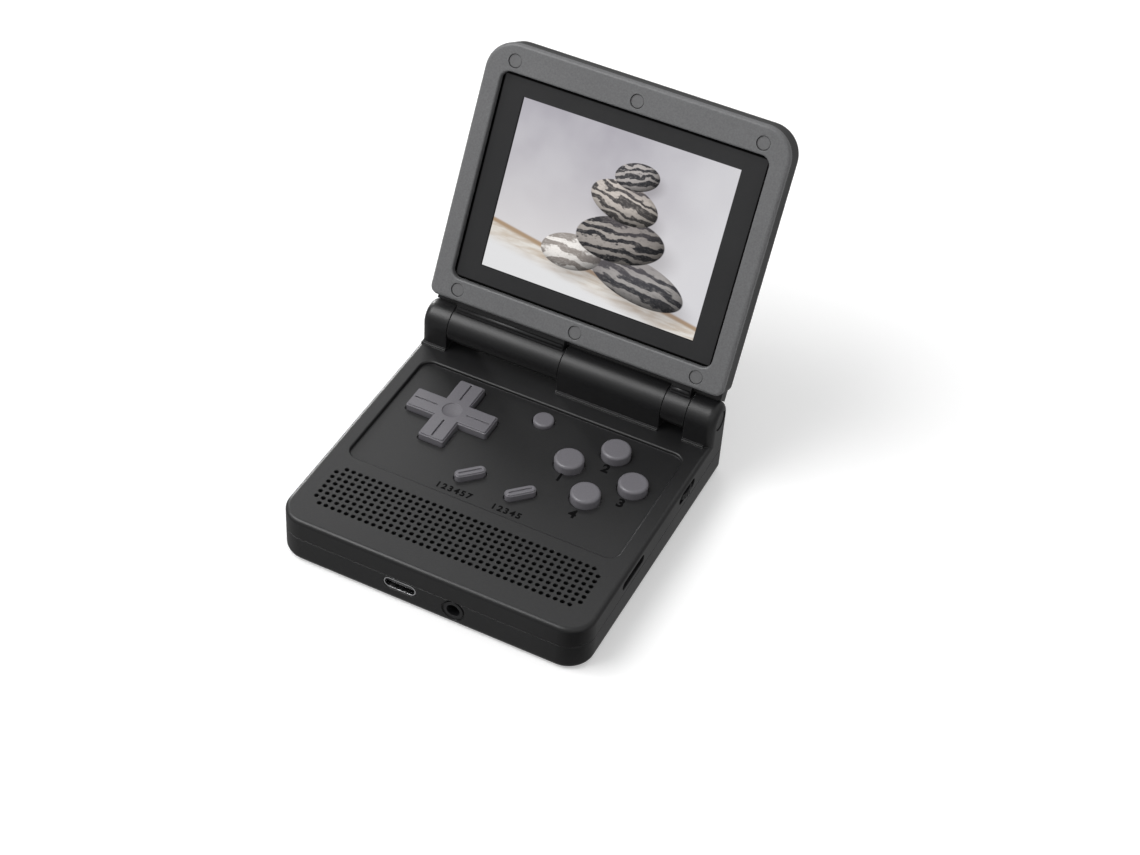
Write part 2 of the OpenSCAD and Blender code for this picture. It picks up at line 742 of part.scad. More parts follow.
module audio_jack() color(dark) translate([jack_x, 0, jack_z]) difference() {
  union() {
    translate([0, -in_y + 0.3, 0]) rotate([90, 0, 0]) cylinder(r = 2.65, h = wall + 0.25, $fn = 64);
    translate([-jack_w/2, -in_y + 0.1, floor_t + 0.05 - jack_z])
      cube([jack_w, jack_depth - wall + 1.5, board_under - touch - floor_t - 0.05]);
  }
  translate([0, -hd + jack_depth, 0]) rotate([90, 0, 0])
    cylinder(d = jack_bore, h = jack_depth + 1, $fn = 64);
}

module card_socket() color(metal) difference() {
  translate([in_x - loose - socket_l, card_cy - socket_w/2, board_z])
    cube([socket_l, socket_w, socket_h]);
  translate([in_x - socket_l + 1, card_cy - socket_w/2 + 1, card_z + fit])
    cube([2*socket_l, socket_w - 2, 1]);
}

module volume_pot() color(dark) {
  translate([wheel_cx - 3.2, wheel_cy - 3.9, board_z]) cube([5.1, 7.8, wheel_z - 0.15 - board_z]);
  translate([wheel_cx, wheel_cy, board_z]) cylinder(r = 1.2, h = wheel_z + 1.2 - board_z, $fn = 48);
}

module volume_wheel() color(dark) translate([wheel_cx, wheel_cy, wheel_z]) difference() {
  puck(wheel_d/2, wheel_t, 0.25, 0.25);
  translate([0, 0, -1]) cylinder(r = 1.25, h = 6, $fn = 48);
  for (i = [0:29]) rotate([0, 0, i*12]) translate([wheel_d/2 + 0.15, 0, -1])
    cylinder(r = 0.38, h = 6, $fn = 24);
}

module power_switch() color(metal)
  translate([-in_x + 1.9, power_cy - switch_l/2, board_z]) cube([3, switch_l, 3]);

module power_slider() color(key) {
  // thumb piece in the slot, and the plate behind the wall
  translate([-in_x + 0.2, power_cy - power_travel/2, power_z + 0.8]) rotate([0, -90, 0])
    linear_extrude(height = wall + 0.6) rotate(90) stadium(3.2, 1.7);
  translate([-in_x + 0.2, power_cy - power_travel/2 - 2.6, power_z - 0.9]) cube([0.9, 5.2, 2.2]);
  translate([-in_x + 0.2, power_cy - power_travel/2 - 0.6, power_z + 0.2])
    cube([1.6, 1.2, 1]);
}

// rubber mat with low domes at the given places
module mat(w, l, r) {
  translate([0, 0, board_z]) linear_extrude(height = mat_t) rr(w, l, r);
}

module dome(h) {
  translate([0, 0, board_z + 0.1]) puck(1.8, mat_t + h - 0.1, 0.2, 0);
}

module dpad_membrane() color(rubber) translate([-pad_x, pad_y, 0]) {
  mat(pad_l + 2*mat_edge, pad_l + 2*mat_edge, mat_r);
  for (a = [0:90:270]) rotate([0, 0, a]) translate([0.343*pad_l, 0, 0]) dome(0.25);
}

module dpad_pivot() color(rubber)
  at_pad(board_z + mat_t + 0.2) puck(1.8, pad_under - board_z - mat_t - 0.45, 0.2, 0.1);

module groove(l) {
  linear_extrude(height = 10) stadium(l, groove_w);
}

// round dish: an upright rim, then a hollow that is part of a sphere
module dish(r, depth, rim) {
  h = depth - rim;
  big = ((r - 0.1)*(r - 0.1) + h*h)/(2*h);
  translate([0, 0, -rim]) cylinder(r = r, h = 3, $fn = 64);
  intersection() {
    translate([0, 0, big - depth]) sphere(r = big, $fn = 96);
    translate([0, 0, -depth - 1]) cylinder(r = r - 0.1, h = depth + 1, $fn = 64);
  }
}

module dpad() color(key) at_pad(pad_under) difference() {
  union() {
    linear_extrude(height = pad_top - pad_under - 0.4) cross(pad_l, pad_arm, 0.5);
    linear_extrude(height = pad_top - pad_under) cross(pad_l - 0.7, pad_arm - 0.7, 0.4);
    cylinder(r = pad_flange_r, h = 0.8, $fn = 96);
  }
  // finger dish with an upright rim, and a groove along each arm
  translate([0, 0, pad_top - pad_under]) dish(pad_dish_r, pad_dish, pad_dish_rim);
  for (a = [0:90:270]) rotate([0, 0, a])
    translate([pad_l/2 - 4.1, 0, pad_top - pad_under - groove_d]) groove(0.283*pad_l);
}

module button_membrane() color(rubber) translate([pad_x, group_y, 0]) {
  for (a = [0, 90]) rotate([0, 0, a]) mat(button_d + 0.6, 2*button_pitch + 5.6, mat_r);
  for (a = [0:90:270]) rotate([0, 0, a]) translate([button_pitch, 0, 0]) dome(0.5);
}

module face_button(i) color(key) at_button(i, key_under) {
  puck(button_d/2, panel_z + button_rise - key_under, 0.8, 0);
  puck(button_d/2 + 1, flange_t, 0, 0);
}

module button_north() face_button(0);
module button_east() face_button(1);
module button_south() face_button(2);
module button_west() face_button(3);

module pill_membrane() color(rubber) {
  translate([0, pill_y, 0]) mat(pill_mat_w, pill_mat_l, mat_r);
  for (s = [-1, 1], t = [-1, 1]) at_pill(s, 0) translate([t*1.9, 0, 0]) dome(0.4);
}

module pill(s) color(key) at_pill(s, key_under) difference() {
  union() {
    linear_extrude(height = panel_z + 1.5 - key_under) stadium(pill_l, pill_w);
    linear_extrude(height = panel_z + 1.8 - key_under) stadium(pill_l - 0.6, pill_w - 0.6);
    linear_extrude(height = flange_t) stadium(pill_l + 1.8, pill_w + 1.8);
  }
  translate([0, 0, panel_z + 1.8 - key_under - groove_d*0.6]) groove(pill_l - 2);
}

module select_button() pill(-1);
module start_button() pill(1);

module menu_switch() color(metal) translate([0, menu_y, board_z]) {
  translate([-2, -2, 0]) cube([4, 4, 0.8]);
  cylinder(r = 1, h = 1.1, $fn = 32);
}

module menu_button() color(key) translate([0, menu_y, key_under]) {
  puck(menu_d/2, panel_z + 1.05 - key_under, 0.6, 0);
  puck(menu_d/2 + 0.9, flange_t, 0, 0);
}

// ---------- shoulder buttons ----------

module shoulder_pins() color(metal)
  for (s = [-1, 1]) translate([s*sh_pivot_x, sh_pivot_y, floor_t - 0.55])
    cylinder(r = sh_pin_r, h = ceil_z + 1.1 - floor_t, $fn = 32);

module shoulder_switches() color(metal)
  for (s = [-1, 1]) translate([s*sh_switch_x, 0, 0]) {
    translate([-sh_switch_w/2, sh_switch_y - 0.8 - sh_switch_l, board_z])
      cube([sh_switch_w, sh_switch_l, sh_switch_h]);
    translate([0, sh_switch_y - 1, board_z + 1.5]) rotate([-90, 0, 0])
      cylinder(r = 0.8, h = 1, $fn = 32);
  }

// right-hand button: a hinged plate that fills the window in the back wall
module shoulder() difference() {
  union() {
    translate([0, 0, sh_z]) linear_extrude(height = shoulder_h) difference() {
      translate([shoulder_in, in_y - 1]) square([sh_x1 - shoulder_in, wall + 1 + shoulder_out]);
      for (x = [shoulder_in, sh_x1 - 1]) translate([x, hd + shoulder_out - 1]) difference() {
        square([1.01, 1.01]);
        translate([x > shoulder_in ? 0 : 1, 0]) circle(r = 1, $fn = 40);
      }
    }
    translate([shoulder_in - 1, in_y - 1.4, sh_z - 0.8])
      cube([sh_x1 + 1.4 - shoulder_in, 1.2, shoulder_h + 1.2]);
    translate([sh_pivot_x, sh_pivot_y, sh_z - 0.8]) cylinder(r = 1.7, h = shoulder_h + 1.2, $fn = 48);
    translate([sh_switch_x - 1, sh_switch_y + 0.55, board_z + 0.6])
      cube([2, in_y - 1 - sh_switch_y, 2]);
  }
  translate([sh_pivot_x, sh_pivot_y, 0]) cylinder(r = sh_pin_r + 0.06, h = tall, $fn = 32);
}

module shoulder_right() color(black) shoulder();
module shoulder_left() color(black) mirror([1, 0, 0]) shoulder();

// ---------- hinge ----------

module hinge_pin_left() color(metal) at_hinge()
  xcyl(-hw + plug_t + 0.2 + touch, seams[0] + pin_in, pin_r);

// plugs that close the bores at both ends of the hinge
module hinge_end_plugs() color(black) at_hinge() for (s = [-1, 1])
  translate([s*(hw - plug_t - 0.2), 0, 0]) rotate([0, s*90, 0]) puck(plug_r, plug_t, 0.2, 0);

module hinge_cartridge() color(metal) at_hinge() {
  xcyl(seams[3] + bg + 0.3, hw - plug_t - 0.2 - touch, plug_r);
  xcyl(seams[2] - tip_in, seams[3] + bg + 1, pin_r);
}

module flex_connector() color(dark)
  translate([seams[1] + 2.6, foot_y - 3, board_z]) cube([ribbon_w + 2, 3, 1.4]);

module base_flex() color("#8a5a2b") translate([seams[1] + 3.6, 0, 0]) {
  translate([0, foot_y + touch, board_z + 0.6])
    cube([ribbon_w, hinge_y - foot_y + touch, 0.2]);
  translate([0, hinge_y - 0.1, board_z + 0.6])
    cube([ribbon_w, 0.2, hinge_z - board_z - 0.6 - 1.8]);
}

module flex_roll() color("#8a5a2b") at_hinge() difference() {
  xcyl(seams[1] - roll_l, seams[1] + tube_l - 1, 1.6);
  xcyl(seams[1] - roll_l - 1, seams[1] + tube_l, 1.3);
}

// ---------- lid ----------

module lid_outer() {
  translate([0, (lid_near + lid_far)/2, back_n])
    slab(lid_w, lid_l, lid_near_r, lid_corner_r, lid_t, 0.9, lid_back_r);
}

module lid_points() {
  for (x = lid_px, y = lid_py) translate([x, y, 0]) children();
}

module lid_barrel(x0, x1) {
  xcyl(x0, x1, barrel_r);
  translate([x0 + 0.6, 0, -3]) cube([x1 - x0 - 1.1, neck_y + 0.5, 6]);
  translate([x0 + 0.6, neck_y, back_n + 0.4])
    cube([x1 - x0 - 1.1, lid_near + 0.8 - neck_y, neck_n - back_n - 0.4]);
}

// skirt below the lid that fills the view over the knuckles and stays clear of them
module lid_skirt() {
  difference() {
    translate([1 - lid_hw, neck_y - 0.3, back_n + 0.4])
      cube([lid_w - 2, lid_near + 1.3 - neck_y, skirt_n - back_n - 0.4]);
    xcyl(-lid_hw - 1, lid_hw + 1, barrel_r + loose);
  }
}

module lid_rear_shell() color(black) on_lid() difference() {
  union() {
    difference() {
      intersection() {
        lid_outer();
        below(bezel_n);
      }
      translate([0, (lid_near + lid_far)/2, back_n + lid_wall]) linear_extrude(height = 20)
        difference() {
          lid_inside(0);
          for (x = lid_px, y = lid_py)
            translate([x, y - (lid_near + lid_far)/2]) circle(r = 2.2, $fn = 48);
        }
    }
    lid_skirt();
    lid_barrel(seams[0] + bg, seams[1] - bg);
    lid_barrel(seams[2] + bg, seams[3] - bg);
    xcyl(seams[1] - bg - 2, seams[1] + 3, tube_r);
    // pads that the display panel rests on
    for (s = [-1, 1], t = [-1, 1])
      translate([s*(lcd_w/2 - 5) - 3, win_y + t*(lcd_h/2 - 5) - 3, back_n + 0.5])
        cube([6, 6, lcd_n - lcd_t - touch - back_n - 0.5]);
  }
  // space over the posts for the bezel's frame
  translate([0, (lid_near + lid_far)/2, frame_n - 0.1]) linear_extrude(height = 20) lid_inside(0);
  lid_points() translate([0, 0, back_n + 2]) cylinder(r = lid_screw_r + 0.02, h = 20, $fn = 32);
  xcyl(seams[0] - 1, seams[0] + pin_in + 0.6, pin_r + pin_gap);
  xcyl(seams[2] - 1, seams[3] + 1, pin_r + pin_gap);
  xcyl(seams[1] - roll_l - 1, seams[1] + 4, 1.9);
  // way of the ribbon from the barrel into the lid
  translate([seams[1] - roll_l + 1, 0, -0.5]) cube([ribbon_w + 1.2, lid_near + lid_wall + 1, 1]);
}

// inner outline of the lid's wall, about the lid's middle
module lid_inside(gap) {
  w = lid_w - 2*lid_wall - 2*gap;
  l = lid_l - 2*lid_wall - 2*gap;
  translate([0, -5]) rr(w, l - 10, 0.8);
  translate([0, 5]) rr(w, l - 10, lid_corner_r - lid_wall - gap);
}

module lid_bezel() color(face) on_lid() difference() {
  union() {
    intersection() {
      lid_outer();
      translate([0, 0, touch]) above_lid(bezel_n);
    }
    translate([0, (lid_near + lid_far)/2, frame_n]) linear_extrude(height = 2)
      lid_inside(fit);
  }
  translate([0, win_y, lens_n - lens_t - tape_t]) linear_extrude(height = 20)
    rr(window_w, window_h, window_r);
  translate([0, win_y, face_n]) opening_edge(window_w, window_h, window_r, edge_r);
  translate([0, win_y, frame_n - 1]) linear_extrude(height = 20)
    rr(lcd_w + 0.6, lcd_h + 0.6, 1);
  lid_points() {
    translate([0, 0, face_n - 1.2]) cylinder(r = plug_pocket_r, h = 3, $fn = 48);
    translate([0, 0, face_n - 2.3]) cylinder(r = 1.6, h = 3, $fn = 48);
    translate([0, 0, frame_n - 1]) cylinder(r = lid_screw_r + 0.15, h = 5, $fn = 32);
  }
}

module above_lid(n) {
  translate([-lid_w, 0, n]) cube([2*lid_w, 2*lid_far, tall]);
}

module lid_screws() color(metal) on_lid() lid_points()
  translate([0, 0, face_n - 2.3]) rotate([180, 0, 0]) screw(lid_screw_r, 1.5, 1, 4.2);

module screw_plugs() color(face) on_lid() lid_points()
  translate([0, 0, face_n - 1.2]) puck(plug_d/2, 1.2 - plug_sink, 0.15, 0);

module screen_lens() color("#1a1c20") on_lid()
  translate([0, win_y, lens_n - lens_t]) linear_extrude(height = lens_t)
    rr(window_w - 0.2, window_h - 0.2, window_r - 0.1);

module lens_tape() color(dark) on_lid() difference() {
  translate([0, win_y, lens_n - lens_t - tape_t]) linear_extrude(height = tape_t)
    rr(window_w - 0.6, window_h - 0.6, window_r - 0.3);
  translate([0, win_y, lens_n - 3]) linear_extrude(height = 5)
    rr(lcd_w + 0.4, lcd_h + 0.4, 1);
}

module display_panel() color("#e6e2da") on_lid()
  translate([0, win_y, lcd_n - lcd_t]) linear_extrude(height = lcd_t + tape_t - touch)
    rr(lcd_w, lcd_h, 0.6);

module display_flex() color("#8a5a2b") on_lid() {
  translate([seams[1] - roll_l + 1.6, 2, -0.1]) cube([ribbon_w, win_y - lcd_h/2 + 6, 0.2]);
}

base_top_shell();
base_bottom_shell();
battery_cover();
battery_cover_screw();
case_screws();
battery();
battery_contacts();
main_board();
speaker_left();
speaker_right();
usb_shell();
usb_tongue();
audio_jack();
card_socket();
volume_pot();
volume_wheel();
power_switch();
power_slider();
dpad_membrane();
dpad_pivot();
dpad();
button_membrane();
button_north();
button_east();
button_south();
button_west();
pill_membrane();
select_button();
start_button();
menu_switch();
menu_button();
shoulder_pins();
shoulder_switches();
shoulder_left();
shoulder_right();
hinge_pin_left();
hinge_cartridge();
hinge_end_plugs();
flex_connector();
base_flex();
flex_roll();
lid_rear_shell();
lid_bezel();
lid_screws();
screw_plugs();
screen_lens();
lens_tape();
display_panel();
display_flex();
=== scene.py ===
"""Finishes, printed marks, fine trim and studio stage for a handheld console with a hinged lid.

All sizes are in metres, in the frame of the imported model: the origin is at the middle of the
underside of the base, X to the player's right, Y towards the hinge, Z up. The lid's own frame has
its origin on the hinge axis, Y up the lid and Z out of its inner face.
"""
import json
import math

import bmesh
import bpy
from bpy.props import (FloatProperty, FloatVectorProperty, IntProperty, PointerProperty)
from bpy.types import Operator, Panel, PropertyGroup
from mathutils import Matrix, Vector


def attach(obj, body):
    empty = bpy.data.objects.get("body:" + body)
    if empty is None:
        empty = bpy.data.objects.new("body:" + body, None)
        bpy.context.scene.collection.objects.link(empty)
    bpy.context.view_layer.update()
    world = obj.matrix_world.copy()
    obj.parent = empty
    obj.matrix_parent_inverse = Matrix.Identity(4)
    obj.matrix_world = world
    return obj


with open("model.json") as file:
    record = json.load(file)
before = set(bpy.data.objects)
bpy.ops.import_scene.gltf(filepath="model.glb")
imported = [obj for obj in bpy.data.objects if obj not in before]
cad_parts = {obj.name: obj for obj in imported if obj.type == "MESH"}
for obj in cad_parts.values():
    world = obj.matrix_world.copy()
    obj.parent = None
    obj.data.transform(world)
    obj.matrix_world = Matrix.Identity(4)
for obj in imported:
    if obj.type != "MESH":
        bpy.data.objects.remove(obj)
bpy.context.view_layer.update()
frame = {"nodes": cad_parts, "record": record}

bl_info = {
    "name": "Handheld console finishes",
    "version": (1, 0, 0),
    "blender": (4, 5, 0),
    "location": "View3D > Sidebar > Console",
    "description": "Finishes, marks, fine trim and stage for a hinged handheld console",
    "category": "Object",
}

MM = 0.001
PICTURE_SHAPE = 0.75       # height of the lit picture as a share of its width

# figures on the control panel: their text and the place of their middle, in millimetres
BUTTON_FIGURES = (("1", 12.75, 4.4), ("2", 21.65, 13.0), ("3", 30.3, 3.7), ("4", 21.45, -5.6))
PILL_FIGURES = (("123457", -8.3, -12.8), ("12345", 6.6, -12.9))
PILL_SPACING = 1.32        # distance of the figures in a row, as a share of the font's own
FIGURE_SHARE = 0.70        # height of a figure as a share of the font's size
FIGURE_WEIGHT = 0.034      # by how much its strokes are thickened, as a share of the font's size

# where each neck bar starts and ends along X
NECK_BARS = ((-0.0340, -0.0029), (0.0284, 0.0335))

# lamps: name, place, width and height, power in watts; and the point that they all face
LAMPS = (
    ("key", (-0.55, -0.35, 0.95), (0.7, 0.7), 8.6),
    ("left", (-0.85, -0.25, 0.45), (0.2, 0.7), 0.8),
    ("fill", (0.9, -0.5, 0.6), (0.9, 0.9), 0.5),
    ("back", (-0.25, 0.9, 0.75), (1.2, 0.5), 1.7),
    ("rim", (-0.80, 0.66, 0.22), (0.14, 0.4), 4.5),
)
LAMP_AIM = (0, 0.01, 0.03)

# camera: its place, the directions of its right, its down and its view, and its focal length
CAMERA_PLACE = (0.178553, -0.374410, 0.417931)
CAMERA_RIGHT = (0.8944814, 0.4436393, 0.0555621)
CAMERA_DOWN = (0.3404762, -0.5953328, -0.7277738)
CAMERA_AHEAD = (-0.2897912, 0.6698977, -0.6835628)
CAMERA_LENS = 72.209


# ---------------------------------------------------------------- settings

def colour(name, description, value):
    return FloatVectorProperty(name=name, description=description, default=value, size=3,
                               subtype="COLOR", min=0.0, max=1.0)


def length(name, description, value):
    return FloatProperty(name=name, description=description, default=value, unit="LENGTH",
                         precision=5)


class ConsoleFinish(PropertyGroup):
    """Colours and surface values of the console's plastics, metal and screen."""
    shell: colour("Shell", "Colour of the matt black mouldings", (0.0085, 0.0085, 0.0090))
    shell_gloss: FloatProperty(name="Shell roughness", default=0.39, min=0.05, max=1.0,
                               description="Roughness of the matt black mouldings")
    bezel: colour("Bezel", "Colour of the moulding round the screen", (0.131, 0.132, 0.135))
    plug: colour("Plugs", "Colour of the plugs over the lid's screws", (0.132, 0.132, 0.135))
    key: colour("Keys", "Colour of the buttons and the cross pad", (0.148, 0.143, 0.157))
    steel: colour("Steel", "Colour of screws, pins and port shells", (0.86, 0.86, 0.88))
    board: colour("Circuit board", "Colour of the solder mask", (0.012, 0.085, 0.035))
    picture: FloatProperty(name="Picture light", default=0.95, min=0.0, max=2.0,
                           description="Strength of the lit picture")
    grain: length("Grain", "Size of the fine moulded grain", 0.00022)
    edge: length("Edge rounding", "Radius by which sharp moulded edges catch the light", 0.00022)


class ConsoleLayout(PropertyGroup):
    """Places and sizes that the screen's finishes, the marks and the trim take."""
    hinge_y: length("Hinge Y", "Distance of the hinge axis behind the origin", 0.037)
    hinge_z: length("Hinge Z", "Height of the hinge axis", 0.020)
    lid_lean: FloatProperty(name="Lid lean", default=math.radians(63.0), subtype="ANGLE",
                            description="Angle of the lid above the horizontal")
    deck_z: length("Deck", "Height of the deck", 0.014)
    panel_z: length("Panel", "Height of the sunk panel's floor", 0.0131)
    screen_w: length("Picture width", "Width of the lit picture", 0.06096)
    screen_y: length("Picture height", "Distance of the picture's centre up the lid", 0.0413)
    neck_z: length("Neck plate", "Height of the neck plates in the lid's frame", 0.00358)
    bar_y: length("Neck bar place", "Distance of the neck bars up the lid", 0.0050)
    bar_w: length("Neck bar width", "Width of a neck bar", 0.0013)
    bar_t: length("Neck bar height", "Height of a neck bar above its plate", 0.00050)
    lens_w: length("Lens width", "Width of the screen's lens", 0.0744)
    lens_h: length("Lens height", "Height of the screen's lens", 0.0561)
    lens_y: length("Lens place", "Distance of the lens's centre up the lid", 0.0413)
    # the lens's dark rim is painted shade where the bezel's window wall meets the lens
    lens_shade_rim: length("Lens rim", "Width of the lens's dark rim round its printed border", 0.00065)
    mark: length("Mark height", "Height of the printed figures beside the buttons", 0.0028)
    mark_small: FloatProperty(name="Small marks", default=0.66, min=0.1, max=2.0,
                              description="Height of the figures under the slanted buttons, "
                                          "as a share of the mark height")
    mark_t: length("Mark thickness", "Thickness of the printed figures", 0.00006)
    mark_lift: length("Mark lift", "Height of the figures' middle above the panel", 0.00002)
    grille_pitch: length("Grille pitch", "Distance between neighbouring grille holes", 0.001925)
    grille_cols: IntProperty(name="Grille columns", default=39, min=3, max=61,
                             description="Number of grille holes in a row")
    grille_rows: IntProperty(name="Grille rows", default=8, min=3, max=21,
                             description="Number of rows of grille holes")
    grille_y: length("Grille place", "Y of the grille's middle", -0.0271)
    # the ring in each grille hole's mouth is painted shade of the hole's wall
    ring_radius: length("Ring radius", "Radius of the ring in the mouth of a hole", 0.00059)
    ring_t: length("Ring thickness", "Radius of the ring's own section", 0.000065)
    ring_sink: length("Ring depth", "Depth of the ring's middle below the deck", 0.00002)


def finish():
    return bpy.context.scene.console_finish


def layout():
    return bpy.context.scene.console_layout


# ---------------------------------------------------------------- shader groups

def socket(tree, name, kind, default=None, out=False):
    s = tree.interface.new_socket(name=name, in_out="OUTPUT" if out else "INPUT",
                                  socket_type=kind)
    if default is not None:
        s.default_value = default
    return s


def new_group(name, inputs, outputs):
    """Empty shader group: inputs and outputs are (name, socket type, default)."""
    tree = bpy.data.node_groups.new(name, "ShaderNodeTree")
    for n, kind, default in inputs:
        socket(tree, n, "NodeSocket" + kind, default)
    for n, kind in outputs:
        socket(tree, n, "NodeSocket" + kind, out=True)
    given = tree.nodes.new("NodeGroupInput").outputs
    result = tree.nodes.new("NodeGroupOutput").inputs
    return tree, given, result


class Net:
    """Small helper that adds and links nodes in one tree."""

    def __init__(self, tree):
        self.tree = tree

    def add(self, kind, values=None, **settings):
        node = self.tree.nodes.new(kind)
        for k, v in settings.items():
            setattr(node, k, v)
        for k, v in (values or {}).items():
            self.put(node.inputs[k], v)
        return node

    def put(self, target, v):
        if isinstance(v, bpy.types.NodeSocket):
            self.tree.links.new(v, target)
        elif hasattr(target.default_value, "__len__") and not hasattr(v, "__len__"):
            target.default_value = (v, v, v, 1.0)[:len(target.default_value)]
        elif hasattr(v, "__len__") and len(target.default_value) == 4 and len(v) == 3:
            target.default_value = (*v, 1.0)
        else:
            target.default_value = v

    def math(self, op, a, b=0.0, clamp=False):
        return self.add("ShaderNodeMath", {0: a, 1: b}, operation=op, use_clamp=clamp).outputs[0]

    def vec(self, op, a, b=(0, 0, 0), out=0):
        return self.add("ShaderNodeVectorMath", {0: a, 1: b}, operation=op).outputs[out]

    def mix(self, fac, a, b, blend="MIX"):
        node = self.add("ShaderNodeMix", data_type="RGBA", blend_type=blend)
        for i, v in ((0, fac), (6, a), (7, b)):
            self.put(node.inputs[i], v)
        return node.outputs[2]

    def span(self, v, low, high, to_low=0.0, to_high=1.0):
        return self.add("ShaderNodeMapRange", {0: v, 1: low, 2: high, 3: to_low, 4: to_high},
                        interpolation_type="SMOOTHSTEP").outputs[0]

    def xyz(self, v):
        return self.add("ShaderNodeSeparateXYZ", {0: v}).outputs

    def join(self, x, y, z=0.0):
        return self.add("ShaderNodeCombineXYZ", {0: x, 1: y, 2: z}).outputs[0]

    def group(self, tree, **values):
        node = self.add("ShaderNodeGroup", node_tree=tree)
        for k, v in values.items():
            self.put(node.inputs[k], v)
        return node.outputs


def moulded_grain_group():
    """Fine spark-eroded grain with a slow drift of tone and gloss."""
    tree, i, o = new_group("moulded_grain", [("Vector", "Vector", None), ("Size", "Float", 0.0002),
                                             ("Tone", "Float", 0.12), ("Speck", "Float", 0.3)],
                           [("Height", "Float"), ("Tone", "Float"), ("Gloss", "Float")])
    n = Net(tree)
    scale = n.math("DIVIDE", 1.0, i["Size"])
    fine = n.add("ShaderNodeTexNoise", {"Vector": i["Vector"], "Scale": scale, "Detail": 2.0,
                                        "Roughness": 0.55})
    pits = n.add("ShaderNodeTexVoronoi", {"Vector": i["Vector"],
                                          "Scale": n.math("MULTIPLY", scale, 0.6)})
    n.put(o["Height"], n.math("ADD", n.math("MULTIPLY", fine.outputs[0], 0.6),
                              n.math("MULTIPLY", pits.outputs["Distance"], 0.4)))
    slow = n.add("ShaderNodeTexNoise", {"Vector": i["Vector"], "Scale": 45.0, "Detail": 3.0,
                                        "Roughness": 0.6}).outputs[0]
    speck = n.add("ShaderNodeTexNoise", {"Vector": i["Vector"],
                                         "Scale": n.math("MULTIPLY", scale, 0.45),
                                         "Detail": 1.0}).outputs[0]
    drift = n.math("MULTIPLY", n.math("SUBTRACT", slow, 0.5), i["Tone"])
    dots = n.math("MULTIPLY", n.math("SUBTRACT", speck, 0.5), i["Speck"])
    n.put(o["Tone"], n.math("ADD", 1.0, n.math("ADD", drift, dots)))
    n.put(o["Gloss"], n.math("MULTIPLY", n.math("SUBTRACT", slow, 0.5), 0.16))
    return tree


def edge_wear_and_highlight_group():
    """Rounded normal of sharp edges, and a mask of where they are, used for rubbed-smooth wear and
    for a painted edge highlight.
    """
    tree, i, o = new_group("edge_wear_and_highlight", [("Radius", "Float", 0.0002)],
                           [("Normal", "Vector"), ("Edge", "Float")])
    n = Net(tree)
    bevel = n.add("ShaderNodeBevel", {"Radius": i["Radius"]}, samples=6)
    plain = n.add("ShaderNodeNewGeometry").outputs["Normal"]
    dot = n.vec("DOT_PRODUCT", bevel.outputs[0], plain, 1)
    n.put(o["Normal"], bevel.outputs[0])
    n.put(o["Edge"], n.span(dot, 0.995, 0.80))
    return tree


def lid_place_group():
    """Turns object coordinates into the lid's own frame, in millimetres."""
    tree, i, o = new_group("lid_place", [("Hinge", "Vector", (0, 0.037, 0.02)),
                                         ("Lean", "Vector", (math.radians(63.0), 0, 0))],
                           [("Place", "Vector")])
    n = Net(tree)
    place = n.add("ShaderNodeTexCoord").outputs["Object"]
    turned = n.add("ShaderNodeMapping", {"Vector": place, "Location": i["Hinge"],
                                         "Rotation": i["Lean"], "Scale": (MM, MM, MM)},
                   vector_type="TEXTURE").outputs[0]
    n.put(o["Place"], turned)
    return tree


def banded_pebble_group():
    """A rounded stone with wavy bands, seen in a picture: its colour, mask and shadow."""
    tree, i, o = new_group("banded_pebble",
                           [("Place", "Vector", None), ("Centre", "Vector", (0, 0, 0)),
                            ("Tilt", "Vector", (0, 0, 0)), ("Radii", "Vector", (8, 5, 1)),
                            ("Bands", "Float", 1.6), ("Dark", "Color", (0.05, 0.05, 0.055, 1)),
                            ("Light", "Color", (0.45, 0.42, 0.4, 1))],
                           [("Color", "Color"), ("Mask", "Float"), ("Shadow", "Float")])
    n = Net(tree)
    q = n.add("ShaderNodeMapping", {"Vector": i["Place"], "Location": i["Centre"],
                                    "Rotation": i["Tilt"], "Scale": i["Radii"]},
              vector_type="TEXTURE").outputs[0]
    x, y, _ = n.xyz(q)
    flat = n.join(x, y)
    reach = n.vec("LENGTH", flat, out=1)
    n.put(o["Mask"], n.span(reach, 1.0, 0.965))
    n.put(o["Shadow"], n.span(n.vec("LENGTH", n.join(n.math("SUBTRACT", x, 0.25),
                                                     n.math("ADD", y, 0.55)), out=1), 1.25, 0.5))
    bulge = n.math("SQRT", n.math("MAXIMUM", n.math("SUBTRACT", 1.0,
                                                    n.math("MULTIPLY", reach, reach)), 0.0))
    light = n.vec("DOT_PRODUCT", n.join(x, y, bulge), (-0.42, 0.58, 0.70), 1)
    light = n.span(light, -0.55, 1.0, 0.20, 1.25)
    wave = n.add("ShaderNodeTexWave", {"Vector": q, "Scale": n.math("MULTIPLY", i["Bands"], 0.45),
                                       "Distortion": 9.0, "Detail": 4.0, "Detail Scale": 2.2},
                 bands_direction="Y").outputs["Fac"]
    speck = n.add("ShaderNodeTexNoise", {"Vector": q, "Scale": 9.0, "Detail": 6.0,
                                         "Roughness": 0.75}).outputs[0]
    mottle = n.math("MULTIPLY", n.math("SUBTRACT", speck, 0.5), 2.2)
    fac = n.math("ADD", n.span(wave, 0.35, 0.75), mottle, True)
    n.put(o["Color"], n.mix(1.0, n.mix(fac, i["Dark"], i["Light"]), light, "MULTIPLY"))
    return tree


GROUPS = {}


def shared(name):
    makers = {"grain": moulded_grain_group, "edge": edge_wear_and_highlight_group,
              "lid": lid_place_group, "pebble": banded_pebble_group}
    if name not in GROUPS:
        GROUPS[name] = makers[name]()
    return GROUPS[name]


# ---------------------------------------------------------------- materials

